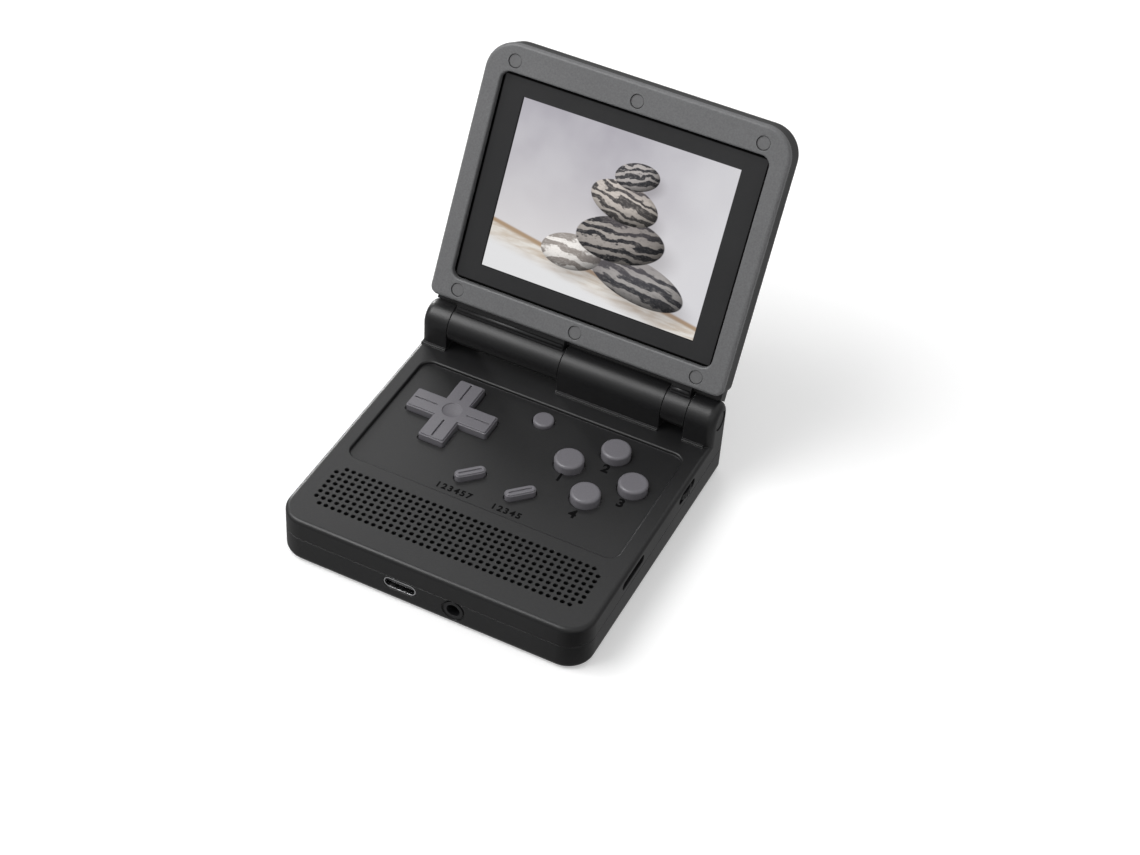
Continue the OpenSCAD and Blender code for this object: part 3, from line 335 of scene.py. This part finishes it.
def material(name):
    mat = bpy.data.materials.new(name)
    mat.use_nodes = True
    tree = mat.node_tree
    bsdf = tree.nodes["Principled BSDF"]
    return mat, Net(tree), bsdf


def object_place(n):
    return n.add("ShaderNodeTexCoord").outputs["Object"]


def moulded(name, base, roughness, grain, depth, edge, lift=0.35, tone=0.12, speck=0.3):
    """A moulded plastic: grain, slow drift of tone, and edges that are rubbed smoother and painted
    lighter, partly as wear and partly as a painted highlight.
    """
    mat, n, bsdf = material(name)
    g = n.group(shared("grain"), Vector=object_place(n), Size=grain, Tone=tone, Speck=speck)
    e = n.group(shared("edge"), Radius=edge)
    # lift paints the edges lighter than the base: partly rubbed wear, partly a painted highlight
    wear_and_highlight_tint = tuple(min(1.0, c * (1.0 + lift) + 0.004) for c in base)
    tint = n.mix(e["Edge"], base, wear_and_highlight_tint)
    n.put(bsdf.inputs["Base Color"], n.mix(1.0, tint, g["Tone"], "MULTIPLY"))
    rough = n.math("ADD", roughness, g["Gloss"])
    n.put(bsdf.inputs["Roughness"], n.math("SUBTRACT", rough, n.math("MULTIPLY", e["Edge"], 0.14),
                                           True))
    bump = n.add("ShaderNodeBump", {"Strength": depth, "Distance": 0.00004,
                                    "Height": g["Height"], "Normal": e["Normal"]})
    n.put(bsdf.inputs["Normal"], bump.outputs[0])
    return mat


def brushed_metal(name, base, roughness, stretch):
    """Drawn or turned metal with fine lines along one way."""
    mat, n, bsdf = material(name)
    e = n.group(shared("edge"), Radius=0.0001)
    lines = n.add("ShaderNodeTexNoise", {"Vector": n.vec("MULTIPLY", object_place(n), stretch),
                                         "Scale": 900.0, "Detail": 3.0}).outputs[0]
    n.put(bsdf.inputs["Base Color"], n.mix(n.span(lines, 0.3, 0.7), tuple(c * 0.82 for c in base),
                                           base))
    n.put(bsdf.inputs["Roughness"], n.span(lines, 0.25, 0.75, roughness - 0.06, roughness + 0.1))
    bsdf.inputs["Metallic"].default_value = 1.0
    bump = n.add("ShaderNodeBump", {"Strength": 0.15, "Distance": 0.00002, "Height": lines,
                                    "Normal": e["Normal"]})
    n.put(bsdf.inputs["Normal"], bump.outputs[0])
    return mat


def circuit_board(name, base):
    """Solder mask with faint copper tracks under it."""
    mat, n, bsdf = material(name)
    p = object_place(n)
    bricks = n.add("ShaderNodeTexBrick", {"Vector": p, "Scale": 260.0, "Mortar Size": 0.028,
                                          "Color1": (1, 1, 1), "Color2": (0.75, 0.75, 0.75),
                                          "Mortar": (0, 0, 0)}).outputs["Color"]
    noise = n.add("ShaderNodeTexNoise", {"Vector": p, "Scale": 120.0}).outputs[0]
    track = n.math("MULTIPLY", n.add("ShaderNodeRGBToBW", {0: bricks}).outputs[0],
                   n.span(noise, 0.42, 0.58))
    n.put(bsdf.inputs["Base Color"], n.mix(track, base, tuple(c * 1.9 + 0.01 for c in base)))
    n.put(bsdf.inputs["Roughness"], n.span(noise, 0.3, 0.7, 0.25, 0.38))
    bump = n.add("ShaderNodeBump", {"Strength": 0.3, "Distance": 0.00003, "Height": track})
    n.put(bsdf.inputs["Normal"], bump.outputs[0])
    return mat


def copper_film(name):
    """Amber ribbon film with copper lines along it."""
    pitch = 0.0006
    mat, n, bsdf = material(name)
    place = object_place(n)
    turn = n.math("MULTIPLY", n.xyz(place)[0], 2 * math.pi / pitch)
    line = n.span(n.math("SINE", turn), -0.2, 0.4)
    drift = n.add("ShaderNodeTexNoise", {"Scale": 300.0, "Vector": place}).outputs[0]
    n.put(bsdf.inputs["Base Color"], n.mix(line, (0.30, 0.11, 0.02), (0.50, 0.24, 0.06)))
    n.put(bsdf.inputs["Roughness"], n.span(drift, 0.3, 0.7, 0.26, 0.4))
    return mat


def foil_pouch(name):
    """Crinkled foil of the battery pouch."""
    mat, n, bsdf = material(name)
    creases = n.add("ShaderNodeTexNoise", {"Vector": object_place(n), "Scale": 240.0,
                                           "Detail": 4.0, "Distortion": 0.6}).outputs[0]
    n.put(bsdf.inputs["Base Color"], n.mix(creases, (0.36, 0.37, 0.39), (0.52, 0.53, 0.55)))
    n.put(bsdf.inputs["Roughness"], n.span(creases, 0.3, 0.7, 0.3, 0.45))
    bsdf.inputs["Metallic"].default_value = 0.8
    bump = n.add("ShaderNodeBump", {"Strength": 0.4, "Distance": 0.0001, "Height": creases})
    n.put(bsdf.inputs["Normal"], bump.outputs[0])
    return mat


def in_lid(n):
    lay = layout()
    return n.group(shared("lid"), Hinge=(0, lay.hinge_y, lay.hinge_z),
                   Lean=(lay.lid_lean, 0, 0))["Place"]


def window_mask(n, place, width, height, centre, soft):
    """1 inside a rectangle about the lid's middle line, 0 outside it; sizes in millimetres."""
    x, y, _ = n.xyz(place)
    dx = n.math("ABSOLUTE", x)
    dy = n.math("ABSOLUTE", n.math("SUBTRACT", y, centre))
    return n.math("MULTIPLY", n.span(dx, width / 2 + soft, width / 2 - soft),
                  n.span(dy, height / 2 + soft, height / 2 - soft))


def screen_glass(name):
    """Clear lens with a black border printed behind it, and round the border a darker, less shiny
    rim that is painted shade where the bezel's window wall meets the lens.
    """
    mat, n, bsdf = material(name)
    lay = layout()
    place = in_lid(n)
    w = lay.screen_w / MM
    clear = window_mask(n, place, w, w * PICTURE_SHAPE, lay.screen_y / MM, 0.06)
    haze = n.add("ShaderNodeTexNoise", {"Vector": place, "Scale": 0.06, "Detail": 2.0}).outputs[0]
    # the rim round the printed border is painted shade: near-black and barely shiny
    rims = 2 * lay.lens_shade_rim
    lens = window_mask(n, place, (lay.lens_w - rims) / MM, (lay.lens_h - rims) / MM,
                       lay.lens_y / MM, 0.08)
    border = n.mix(haze, (0.020, 0.020, 0.021), (0.028, 0.028, 0.029))
    n.put(bsdf.inputs["Base Color"], n.mix(lens, (0.001, 0.001, 0.001), border))
    n.put(bsdf.inputs["Roughness"], n.span(haze, 0.3, 0.7, 0.10, 0.16))
    n.put(bsdf.inputs["Specular IOR Level"], n.span(lens, 0.0, 1.0, 0.05, 0.5))
    n.put(bsdf.inputs["Alpha"], n.span(clear, 0.0, 1.0, 1.0, 0.04))
    return mat


def lit_picture(name):
    """A generic still picture: banded pebbles stacked on a pale ledge, before a grey backdrop."""
    mat, n, bsdf = material(name)
    lay = layout()
    place = in_lid(n)
    local = n.vec("SUBTRACT", place, (0, lay.screen_y / MM, 0))
    x, y, _ = n.xyz(local)
    up = n.span(y, -20, 23)
    back = n.mix(up, (0.80, 0.78, 0.79), (0.47, 0.45, 0.50))
    back = n.mix(n.span(x, 2, 30), back, (0.72, 0.71, 0.74))
    soft = n.add("ShaderNodeTexNoise", {"Vector": local, "Scale": 0.05, "Detail": 3.0}).outputs[0]
    back = n.mix(n.span(soft, 0.35, 0.7, 0.0, 0.25), back, (0.9, 0.9, 0.92))
    # ledge with a warm front edge, falling a little to the right
    edge = n.math("ADD", y, n.math("ADD", n.math("MULTIPLY", x, 0.16), 15.0))
    grainy = n.add("ShaderNodeTexNoise", {"Vector": n.vec("MULTIPLY", local, (0.25, 1.4, 1.0)),
                                          "Scale": 0.7, "Detail": 4.0}).outputs[0]
    ledge = n.mix(n.span(grainy, 0.3, 0.75), (0.86, 0.83, 0.78), (0.62, 0.52, 0.42))
    view = n.mix(n.span(edge, 0.25, -0.25), back, ledge)
    rim = n.math("MULTIPLY", n.span(edge, 0.9, 0.2), n.span(edge, -1.0, -0.2))
    view = n.mix(rim, view, (0.46, 0.33, 0.22))
    view = n.mix(n.span(edge, -2.5, -6.5), view, (0.86, 0.86, 0.87))
    # the stones from the front one to the top: middle, tilt, radii, bands, dark and light colour
    stones = [
        ((11.5, -13.3, 0), -0.16, (14.0, 5.6, 1), 1.3, (0.055, 0.055, 0.062), (0.40, 0.38, 0.37)),
        ((-7.5, -11.6, 0), 0.10, (8.6, 4.8, 1), 0.9, (0.30, 0.27, 0.25), (0.83, 0.80, 0.77)),
        ((4.5, -4.6, 0), 0.12, (12.4, 6.1, 1), 1.8, (0.030, 0.030, 0.034), (0.36, 0.33, 0.31)),
        ((3.0, 5.0, 0), -0.14, (9.8, 5.2, 1), 1.6, (0.075, 0.070, 0.070), (0.56, 0.51, 0.47)),
        ((4.6, 12.4, 0), 0.20, (6.2, 3.7, 1), 1.4, (0.045, 0.045, 0.050), (0.44, 0.41, 0.40)),
    ]
    for centre, tilt, radii, bands, dark, light in stones:
        s = n.group(shared("pebble"), Place=local, Centre=centre, Tilt=(0, 0, tilt), Radii=radii,
                    Bands=bands, Dark=dark, Light=light)
        view = n.mix(n.math("MULTIPLY", s["Shadow"], 0.38), view, (0.16, 0.14, 0.15))
        view = n.mix(s["Mask"], view, s["Color"])
    w = lay.screen_w / MM
    lit = window_mask(n, local, w, w * PICTURE_SHAPE, 0.0, 0.05)
    view = n.mix(lit, (0, 0, 0), view)
    n.put(bsdf.inputs["Base Color"], n.mix(lit, (0.004, 0.004, 0.004), (0.001, 0.001, 0.001)))
    n.put(bsdf.inputs["Emission Color"], view)
    # the picture is at full strength for the camera and weaker as light on what is round it
    path = n.add("ShaderNodeLightPath").outputs
    spill = n.math("MAXIMUM", path["Is Glossy Ray"], path["Is Diffuse Ray"])
    n.put(bsdf.inputs["Emission Strength"], n.math("MULTIPLY", finish().picture,
                                                   n.span(spill, 0, 1, 1.0, 0.12)))
    bsdf.inputs["Roughness"].default_value = 0.5
    bsdf.inputs["Specular IOR Level"].default_value = 0.05
    return mat


def matt_print_and_shade(name, base):
    """Matt dark printing, a little uneven; it also colours the grille holes' rings as painted
    shade.
    """
    mat, n, bsdf = material(name)
    grain = n.add("ShaderNodeTexNoise", {"Vector": object_place(n), "Scale": 9000.0}).outputs[0]
    n.put(bsdf.inputs["Base Color"], n.mix(grain, tuple(c * 0.6 for c in base), base))
    n.put(bsdf.inputs["Roughness"], n.span(grain, 0.2, 0.8, 0.65, 0.8))
    bsdf.inputs["Specular IOR Level"].default_value = 0.08
    return mat


def speaker_paper(name):
    """Pressed black paper of a speaker's cone, with fine fibres."""
    mat, n, bsdf = material(name)
    fibres = n.add("ShaderNodeTexNoise", {"Vector": object_place(n), "Scale": 5000.0,
                                          "Detail": 3.0}).outputs[0]
    n.put(bsdf.inputs["Base Color"], n.mix(fibres, (0.010, 0.010, 0.011), (0.022, 0.022, 0.024)))
    n.put(bsdf.inputs["Roughness"], n.span(fibres, 0.3, 0.7, 0.75, 0.9))
    bump = n.add("ShaderNodeBump", {"Strength": 0.3, "Distance": 0.00005, "Height": fibres})
    n.put(bsdf.inputs["Normal"], bump.outputs[0])
    return mat


def build_finishes():
    """Every finish, by the record's slot name."""
    f = finish()
    return {
        # each lift paints that moulding's edges lighter, partly as wear and partly as a painted
        # highlight
        "shell_black": moulded("matt_black_moulding", tuple(f.shell), f.shell_gloss, f.grain,
                               0.35, f.edge, lift=1.6, speck=0.8),
        "bezel_grey": moulded("grey_bezel_moulding", tuple(f.bezel), 0.45, f.grain * 0.9, 0.45,
                              f.edge, lift=0.5, tone=0.08, speck=0.55),
        "plug_grey": moulded("grey_screw_plug", tuple(f.plug), 0.42, f.grain, 0.2, f.edge,
                             lift=0.3),
        "key_grey": moulded("satin_key_moulding", tuple(f.key), 0.34, f.grain * 0.6, 0.12,
                            f.edge, lift=0.22, tone=0.06),
        "port_black": moulded("black_port_moulding", (0.009, 0.009, 0.010), 0.30, f.grain * 0.5,
                              0.1, f.edge * 0.6, lift=0.3),
        "rubber_grey": moulded("silicone_mat", (0.16, 0.16, 0.17), 0.62, f.grain * 1.5, 0.3,
                               f.edge, lift=0.1),
        "steel": brushed_metal("bright_steel", tuple(f.steel), 0.24, (1.0, 0.06, 1.0)),
        "circuit_board": circuit_board("green_circuit_board", tuple(f.board)),
        "polyimide": copper_film("ribbon_film"),
        "battery_wrap": foil_pouch("battery_foil"),
        "speaker_cone": speaker_paper("speaker_paper"),
        "lens_glass": screen_glass("bordered_screen_glass"),
        "display": lit_picture("lit_display"),
    }


# ---------------------------------------------------------------- making pieces

FINISHES = {}


def new_piece(name, mesh, body, mat):
    obj = bpy.data.objects.new(name, mesh)
    bpy.context.scene.collection.objects.link(obj)
    obj.data.materials.clear()
    obj.data.materials.append(mat)
    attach(obj, body)
    return obj


def text_mesh(text, height, thickness, spacing=1.0):
    """Figures of one height as a thin solid mesh, centred on their own box."""
    curve = bpy.data.curves.new("figure", "FONT")
    curve.body = text
    curve.size = height / FIGURE_SHARE
    curve.offset = curve.size * FIGURE_WEIGHT
    curve.space_character = spacing
    curve.extrude = thickness / 2
    curve.align_x, curve.align_y = "CENTER", "CENTER"
    obj = bpy.data.objects.new("figure", curve)
    bpy.context.scene.collection.objects.link(obj)
    dg = bpy.context.evaluated_depsgraph_get()
    mesh = bpy.data.meshes.new_from_object(obj.evaluated_get(dg))
    bpy.data.objects.remove(obj)
    bpy.data.curves.remove(curve)
    return mesh


def joined(name, meshes):
    """One mesh from (mesh, matrix) pairs, which it uses up; doubles merged, normals outwards."""
    bm = bmesh.new()
    for mesh, matrix in meshes:
        mesh.transform(matrix)
        bm.from_mesh(mesh)
        bpy.data.meshes.remove(mesh)
    bmesh.ops.remove_doubles(bm, verts=bm.verts, dist=1e-7)
    bmesh.ops.recalc_face_normals(bm, faces=bm.faces)
    out = bpy.data.meshes.new(name)
    bm.to_mesh(out)
    bm.free()
    return out


def bar_mesh(length, width, height, steps=8):
    """A bar along X with a domed top, closed at both ends and flat below."""
    bm = bmesh.new()
    ring = [(math.cos(math.pi * k / steps) * width / 2, math.sin(math.pi * k / steps) * height)
            for k in range(steps + 1)]
    ends = [[bm.verts.new((s * length / 2, y, z)) for y, z in ring] for s in (-1, 1)]
    for k in range(len(ring)):
        j = (k + 1) % len(ring)
        bm.faces.new((ends[0][k], ends[0][j], ends[1][j], ends[1][k]))
    bm.faces.new(ends[0])
    bm.faces.new(reversed(ends[1]))
    for f in bm.faces:
        f.smooth = len(f.verts) == 4
    mesh = bpy.data.meshes.new("bar")
    bm.to_mesh(mesh)
    bm.free()
    return mesh


def hole_rings_tree():
    """Geometry nodes: a thin ring in the mouth of each hole of a lattice without corners."""
    ring_sides, section_sides = 18, 4
    under_half = 0.499     # only the outermost rows and columns lie beyond this share of the size
    tree = bpy.data.node_groups.new("grille_shade_rings", "GeometryNodeTree")
    for name, kind, default in (("Columns", "Int", 39), ("Rows", "Int", 8),
                                ("Pitch", "Float", 0.001925), ("Radius", "Float", 0.00059),
                                ("Thickness", "Float", 0.000065),
                                ("Material", "Material", None)):
        socket(tree, name, "NodeSocket" + kind, default)
    socket(tree, "Geometry", "NodeSocketGeometry", out=True)
    n = Net(tree)
    gi = tree.nodes.new("NodeGroupInput").outputs
    go = tree.nodes.new("NodeGroupOutput").inputs
    last_c = n.math("SUBTRACT", gi["Columns"], 1.0)
    last_r = n.math("SUBTRACT", gi["Rows"], 1.0)
    size_x = n.math("MULTIPLY", last_c, gi["Pitch"])
    size_y = n.math("MULTIPLY", last_r, gi["Pitch"])
    grid = n.add("GeometryNodeMeshGrid", {"Size X": size_x, "Size Y": size_y,
                                          "Vertices X": gi["Columns"], "Vertices Y": gi["Rows"]})
    points = n.add("GeometryNodeMeshToPoints", {"Mesh": grid.outputs["Mesh"]})
    place = n.xyz(n.add("GeometryNodeInputPosition").outputs[0])
    outer_x = n.math("GREATER_THAN", n.math("ABSOLUTE", place[0]),
                     n.math("MULTIPLY", size_x, under_half))
    outer_y = n.math("GREATER_THAN", n.math("ABSOLUTE", place[1]),
                     n.math("MULTIPLY", size_y, under_half))
    corner = n.math("MULTIPLY", outer_x, outer_y)
    kept = n.add("GeometryNodeDeleteGeometry", {"Geometry": points.outputs[0],
                                                "Selection": corner})
    path = n.add("GeometryNodeCurvePrimitiveCircle", {"Resolution": ring_sides,
                                                      "Radius": gi["Radius"]})
    section = n.add("GeometryNodeCurvePrimitiveCircle", {"Resolution": section_sides,
                                                         "Radius": gi["Thickness"]})
    ring = n.add("GeometryNodeCurveToMesh", {"Curve": path.outputs["Curve"],
                                             "Profile Curve": section.outputs["Curve"]})
    rings = n.add("GeometryNodeInstanceOnPoints", {"Points": kept.outputs[0],
                                                   "Instance": ring.outputs[0]})
    real = n.add("GeometryNodeRealizeInstances", {"Geometry": rings.outputs[0]})
    done = n.add("GeometryNodeSetMaterial", {"Geometry": real.outputs[0],
                                             "Material": gi["Material"]})
    n.put(go["Geometry"], done.outputs[0])
    return tree


def grown(name, tree, values):
    """Runs a geometry nodes tree once and gives back its result as a plain mesh."""
    holder = bpy.data.objects.new(name + "_seed", bpy.data.meshes.new(name + "_seed"))
    bpy.context.scene.collection.objects.link(holder)
    mod = holder.modifiers.new("grow", "NODES")
    mod.node_group = tree
    for item in tree.interface.items_tree:
        if item.item_type == "SOCKET" and item.in_out == "INPUT" and item.name in values:
            mod[item.identifier] = values[item.name]
    dg = bpy.context.evaluated_depsgraph_get()
    mesh = bpy.data.meshes.new_from_object(holder.evaluated_get(dg))
    holder.modifiers.remove(mod)
    bpy.data.objects.remove(holder)
    mesh.name = name
    return mesh


# ---------------------------------------------------------------- operators

class CONSOLE_OT_finishes(Operator):
    """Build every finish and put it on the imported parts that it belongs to"""
    bl_idname = "console.finishes"
    bl_label = "Finishes"

    def execute(self, context):
        FINISHES.clear()
        FINISHES.update(build_finishes())
        for part in frame["record"]["subparts"]:
            obj = frame["nodes"][part["node"]]
            mat = FINISHES[part["material_slot"]]
            if not obj.material_slots:
                raise RuntimeError("no material slot on " + part["node"])
            for s in obj.material_slots:
                s.link = "OBJECT"
                s.material = mat
        return {"FINISHED"}


class CONSOLE_OT_marks(Operator):
    """Print plain figures beside the round buttons and under the slanted ones"""
    bl_idname = "console.marks"
    bl_label = "Printed marks"

    def execute(self, context):
        lay = layout()
        z = lay.panel_z + lay.mark_lift
        groups = ((BUTTON_FIGURES, lay.mark, 1.0),
                  (PILL_FIGURES, lay.mark * lay.mark_small, PILL_SPACING))
        parts = [(text_mesh(text, height, lay.mark_t, spacing),
                  Matrix.Translation((x * MM, y * MM, z)))
                 for figures, height, spacing in groups for text, x, y in figures]
        new_piece("panel_marks", joined("panel_marks", parts), "base",
                  matt_print_and_shade("dark_marking", (0.0020, 0.0020, 0.0022)))
        return {"FINISHED"}


class CONSOLE_OT_grille(Operator):
    """Lay a thin dark ring in the mouth of every hole of the speaker grille, as painted shade of
    the hole's wall
    """
    bl_idname = "console.grille"
    bl_label = "Grille rims"

    def execute(self, context):
        lay = layout()
        # the rings' near-black colour is painted shade of each hole's wall
        shade = matt_print_and_shade("shaded_hole_rim", (0.0010, 0.0010, 0.0011))
        mesh = grown("grille_shade_rings", hole_rings_tree(),
                     {"Columns": lay.grille_cols, "Rows": lay.grille_rows,
                      "Pitch": lay.grille_pitch, "Radius": lay.ring_radius,
                      "Thickness": lay.ring_t, "Material": shade})
        if not mesh.polygons:
            raise RuntimeError("the grille's rims came out empty")
        mesh.transform(Matrix.Translation((0, lay.grille_y, lay.deck_z - lay.ring_sink)))
        new_piece("grille_shade_rings", mesh, "base", shade)
        return {"FINISHED"}


class CONSOLE_OT_neck_bars(Operator):
    """Lay a slim rounded bar along each neck plate of the lid, above its barrels"""
    bl_idname = "console.neck_bars"
    bl_label = "Neck bars"

    def execute(self, context):
        lay = layout()
        lid = (Matrix.Translation((0, lay.hinge_y, lay.hinge_z))
               @ Matrix.Rotation(lay.lid_lean, 4, "X"))
        parts = [(bar_mesh(x1 - x0, lay.bar_w, lay.bar_t),
                  lid @ Matrix.Translation(((x0 + x1) / 2, lay.bar_y, lay.neck_z)))
                 for x0, x1 in NECK_BARS]
        new_piece("neck_bars", joined("neck_bars", parts), "lid",
                  FINISHES["shell_black"])
        return {"FINISHED"}


class CONSOLE_OT_stage(Operator):
    """Set up the pale floor, the soft studio lights, the world and the camera"""
    bl_idname = "console.stage"
    bl_label = "Stage"
    # strength of the surroundings as light, and in reflections near the horizon and high up
    SKY, SKY_LOW, SKY_HIGH = 0.55, 0.22, 0.62
    # upward share of a reflection's direction at which the low and the high strength hold
    SKY_RISE = (0.05, 0.65)
    # floor's half width and how far it lies below the object
    FLOOR_REACH, FLOOR_DROP = 3.0, 0.00002
    # floor's colour, and the glow that it adds for the camera
    FLOOR, FLOOR_GLOW = 0.80, (0.30, 0.30, 0.30)
    # how bright the floor is in reflections, in general and within the dark spot
    FLOOR_SHINE, FLOOR_CORNER = 0.29, 0.02
    # the dark spot before the front corner: its middle, and where it starts to fade and ends
    SPOT, SPOT_FADE = (0.058, -0.060, 0), (0.012, 0.036)

    def execute(self, context):
        scene = context.scene
        bm = bmesh.new()
        bmesh.ops.create_grid(bm, x_segments=1, y_segments=1, size=self.FLOOR_REACH)
        mesh = bpy.data.meshes.new("floor")
        bm.to_mesh(mesh)
        bm.free()
        floor = bpy.data.objects.new("floor", mesh)
        scene.collection.objects.link(floor)
        floor.location.z = -self.FLOOR_DROP
        floor.data.materials.append(self.floor_material())
        self.world(scene)
        lamps = {name: self.lamp(scene, name, *values) for name, *values in LAMPS}
        # the rim light only draws the edges of the deck, as if the lid were not in its way
        only = bpy.data.collections.new("rim_lit")
        only.objects.link(frame["nodes"]["base_top_shell"])
        lamps["rim"].light_linking.receiver_collection = only
        lamps["rim"].light_linking.blocker_collection = only
        self.camera(scene)
        scene.view_settings.view_transform = "Standard"
        return {"FINISHED"}

    def floor_material(self):
        mat, n, bsdf = material("pale_floor")
        bsdf.inputs["Roughness"].default_value = 0.9
        bsdf.inputs["Specular IOR Level"].default_value = 0.1
        path = n.add("ShaderNodeLightPath").outputs
        seen = n.math("MAXIMUM", path["Is Camera Ray"], path["Is Transmission Ray"])
        far = n.vec("LENGTH", n.vec("SUBTRACT", object_place(n), self.SPOT), out=1)
        shine = n.span(far, *self.SPOT_FADE, self.FLOOR_CORNER, self.FLOOR_SHINE)
        glow = n.mix(seen, n.mix(path["Is Glossy Ray"], (0, 0, 0), shine), self.FLOOR_GLOW)
        n.put(bsdf.inputs["Base Color"], n.mix(path["Is Glossy Ray"], (self.FLOOR,) * 3,
                                               (0, 0, 0)))
        n.put(bsdf.inputs["Emission Color"], glow)
        bsdf.inputs["Emission Strength"].default_value = 1.0
        return mat

    def world(self, scene):
        world = bpy.data.worlds.new("studio")
        world.use_nodes = True
        n = Net(world.node_tree)
        bg = world.node_tree.nodes["Background"]
        path = n.add("ShaderNodeLightPath").outputs
        seen = n.math("MAXIMUM", path["Is Camera Ray"], path["Is Transmission Ray"])
        up = n.xyz(n.add("ShaderNodeTexCoord").outputs["Generated"])[2]
        sky = n.span(up, *self.SKY_RISE, self.SKY_LOW, self.SKY_HIGH)
        shine = n.math("MULTIPLY", path["Is Glossy Ray"], n.math("SUBTRACT", sky, self.SKY))
        plain = n.math("MULTIPLY", seen, 1.0 - self.SKY)
        n.put(bg.inputs["Strength"], n.math("ADD", self.SKY, n.math("ADD", shine, plain)))
        bg.inputs["Color"].default_value = (1, 1, 1, 1)
        scene.world = world

    def lamp(self, scene, name, place, size, power):
        light = bpy.data.lights.new(name, "AREA")
        light.shape = "RECTANGLE"
        light.size, light.size_y = size
        light.energy = power
        obj = bpy.data.objects.new(name, light)
        scene.collection.objects.link(obj)
        obj.location = place
        aim = Vector(LAMP_AIM) - Vector(place)
        obj.rotation_mode = "QUATERNION"
        obj.rotation_quaternion = aim.to_track_quat("-Z", "Y")
        return obj

    def camera(self, scene):
        cam = bpy.data.cameras.new("camera")
        cam.sensor_width = 36.0
        cam.lens = CAMERA_LENS
        cam.clip_start, cam.clip_end = 0.01, 20.0
        obj = bpy.data.objects.new("camera", cam)
        scene.collection.objects.link(obj)
        axes = (Vector(CAMERA_RIGHT), -Vector(CAMERA_DOWN), -Vector(CAMERA_AHEAD))
        turn = Matrix(axes).transposed()
        obj.matrix_world = Matrix.Translation(CAMERA_PLACE) @ turn.to_4x4()
        scene.camera = obj


class CONSOLE_PT_panel(Panel):
    """Sidebar panel with the console's settings and steps"""
    bl_idname = "CONSOLE_PT_panel"
    bl_label = "Handheld console"
    bl_space_type = "VIEW_3D"
    bl_region_type = "UI"
    bl_category = "Console"

    def draw(self, context):
        for group in (context.scene.console_finish, context.scene.console_layout):
            box = self.layout.box()
            for key in group.__annotations__:
                box.prop(group, key)
        for step in STEPS:
            self.layout.operator(step.bl_idname)


STEPS = (CONSOLE_OT_finishes, CONSOLE_OT_marks, CONSOLE_OT_grille, CONSOLE_OT_neck_bars,
         CONSOLE_OT_stage)
CLASSES = (ConsoleFinish, ConsoleLayout, *STEPS, CONSOLE_PT_panel)


def register():
    for c in CLASSES:
        bpy.utils.register_class(c)
    bpy.types.Scene.console_finish = PointerProperty(type=ConsoleFinish)
    bpy.types.Scene.console_layout = PointerProperty(type=ConsoleLayout)


def unregister():
    del bpy.types.Scene.console_layout
    del bpy.types.Scene.console_finish
    for c in reversed(CLASSES):
        bpy.utils.unregister_class(c)


def main():
    register()
    for step in STEPS:
        group, name = step.bl_idname.split(".")
        getattr(getattr(bpy.ops, group), name)()


if __name__ == "__main__":
    main()
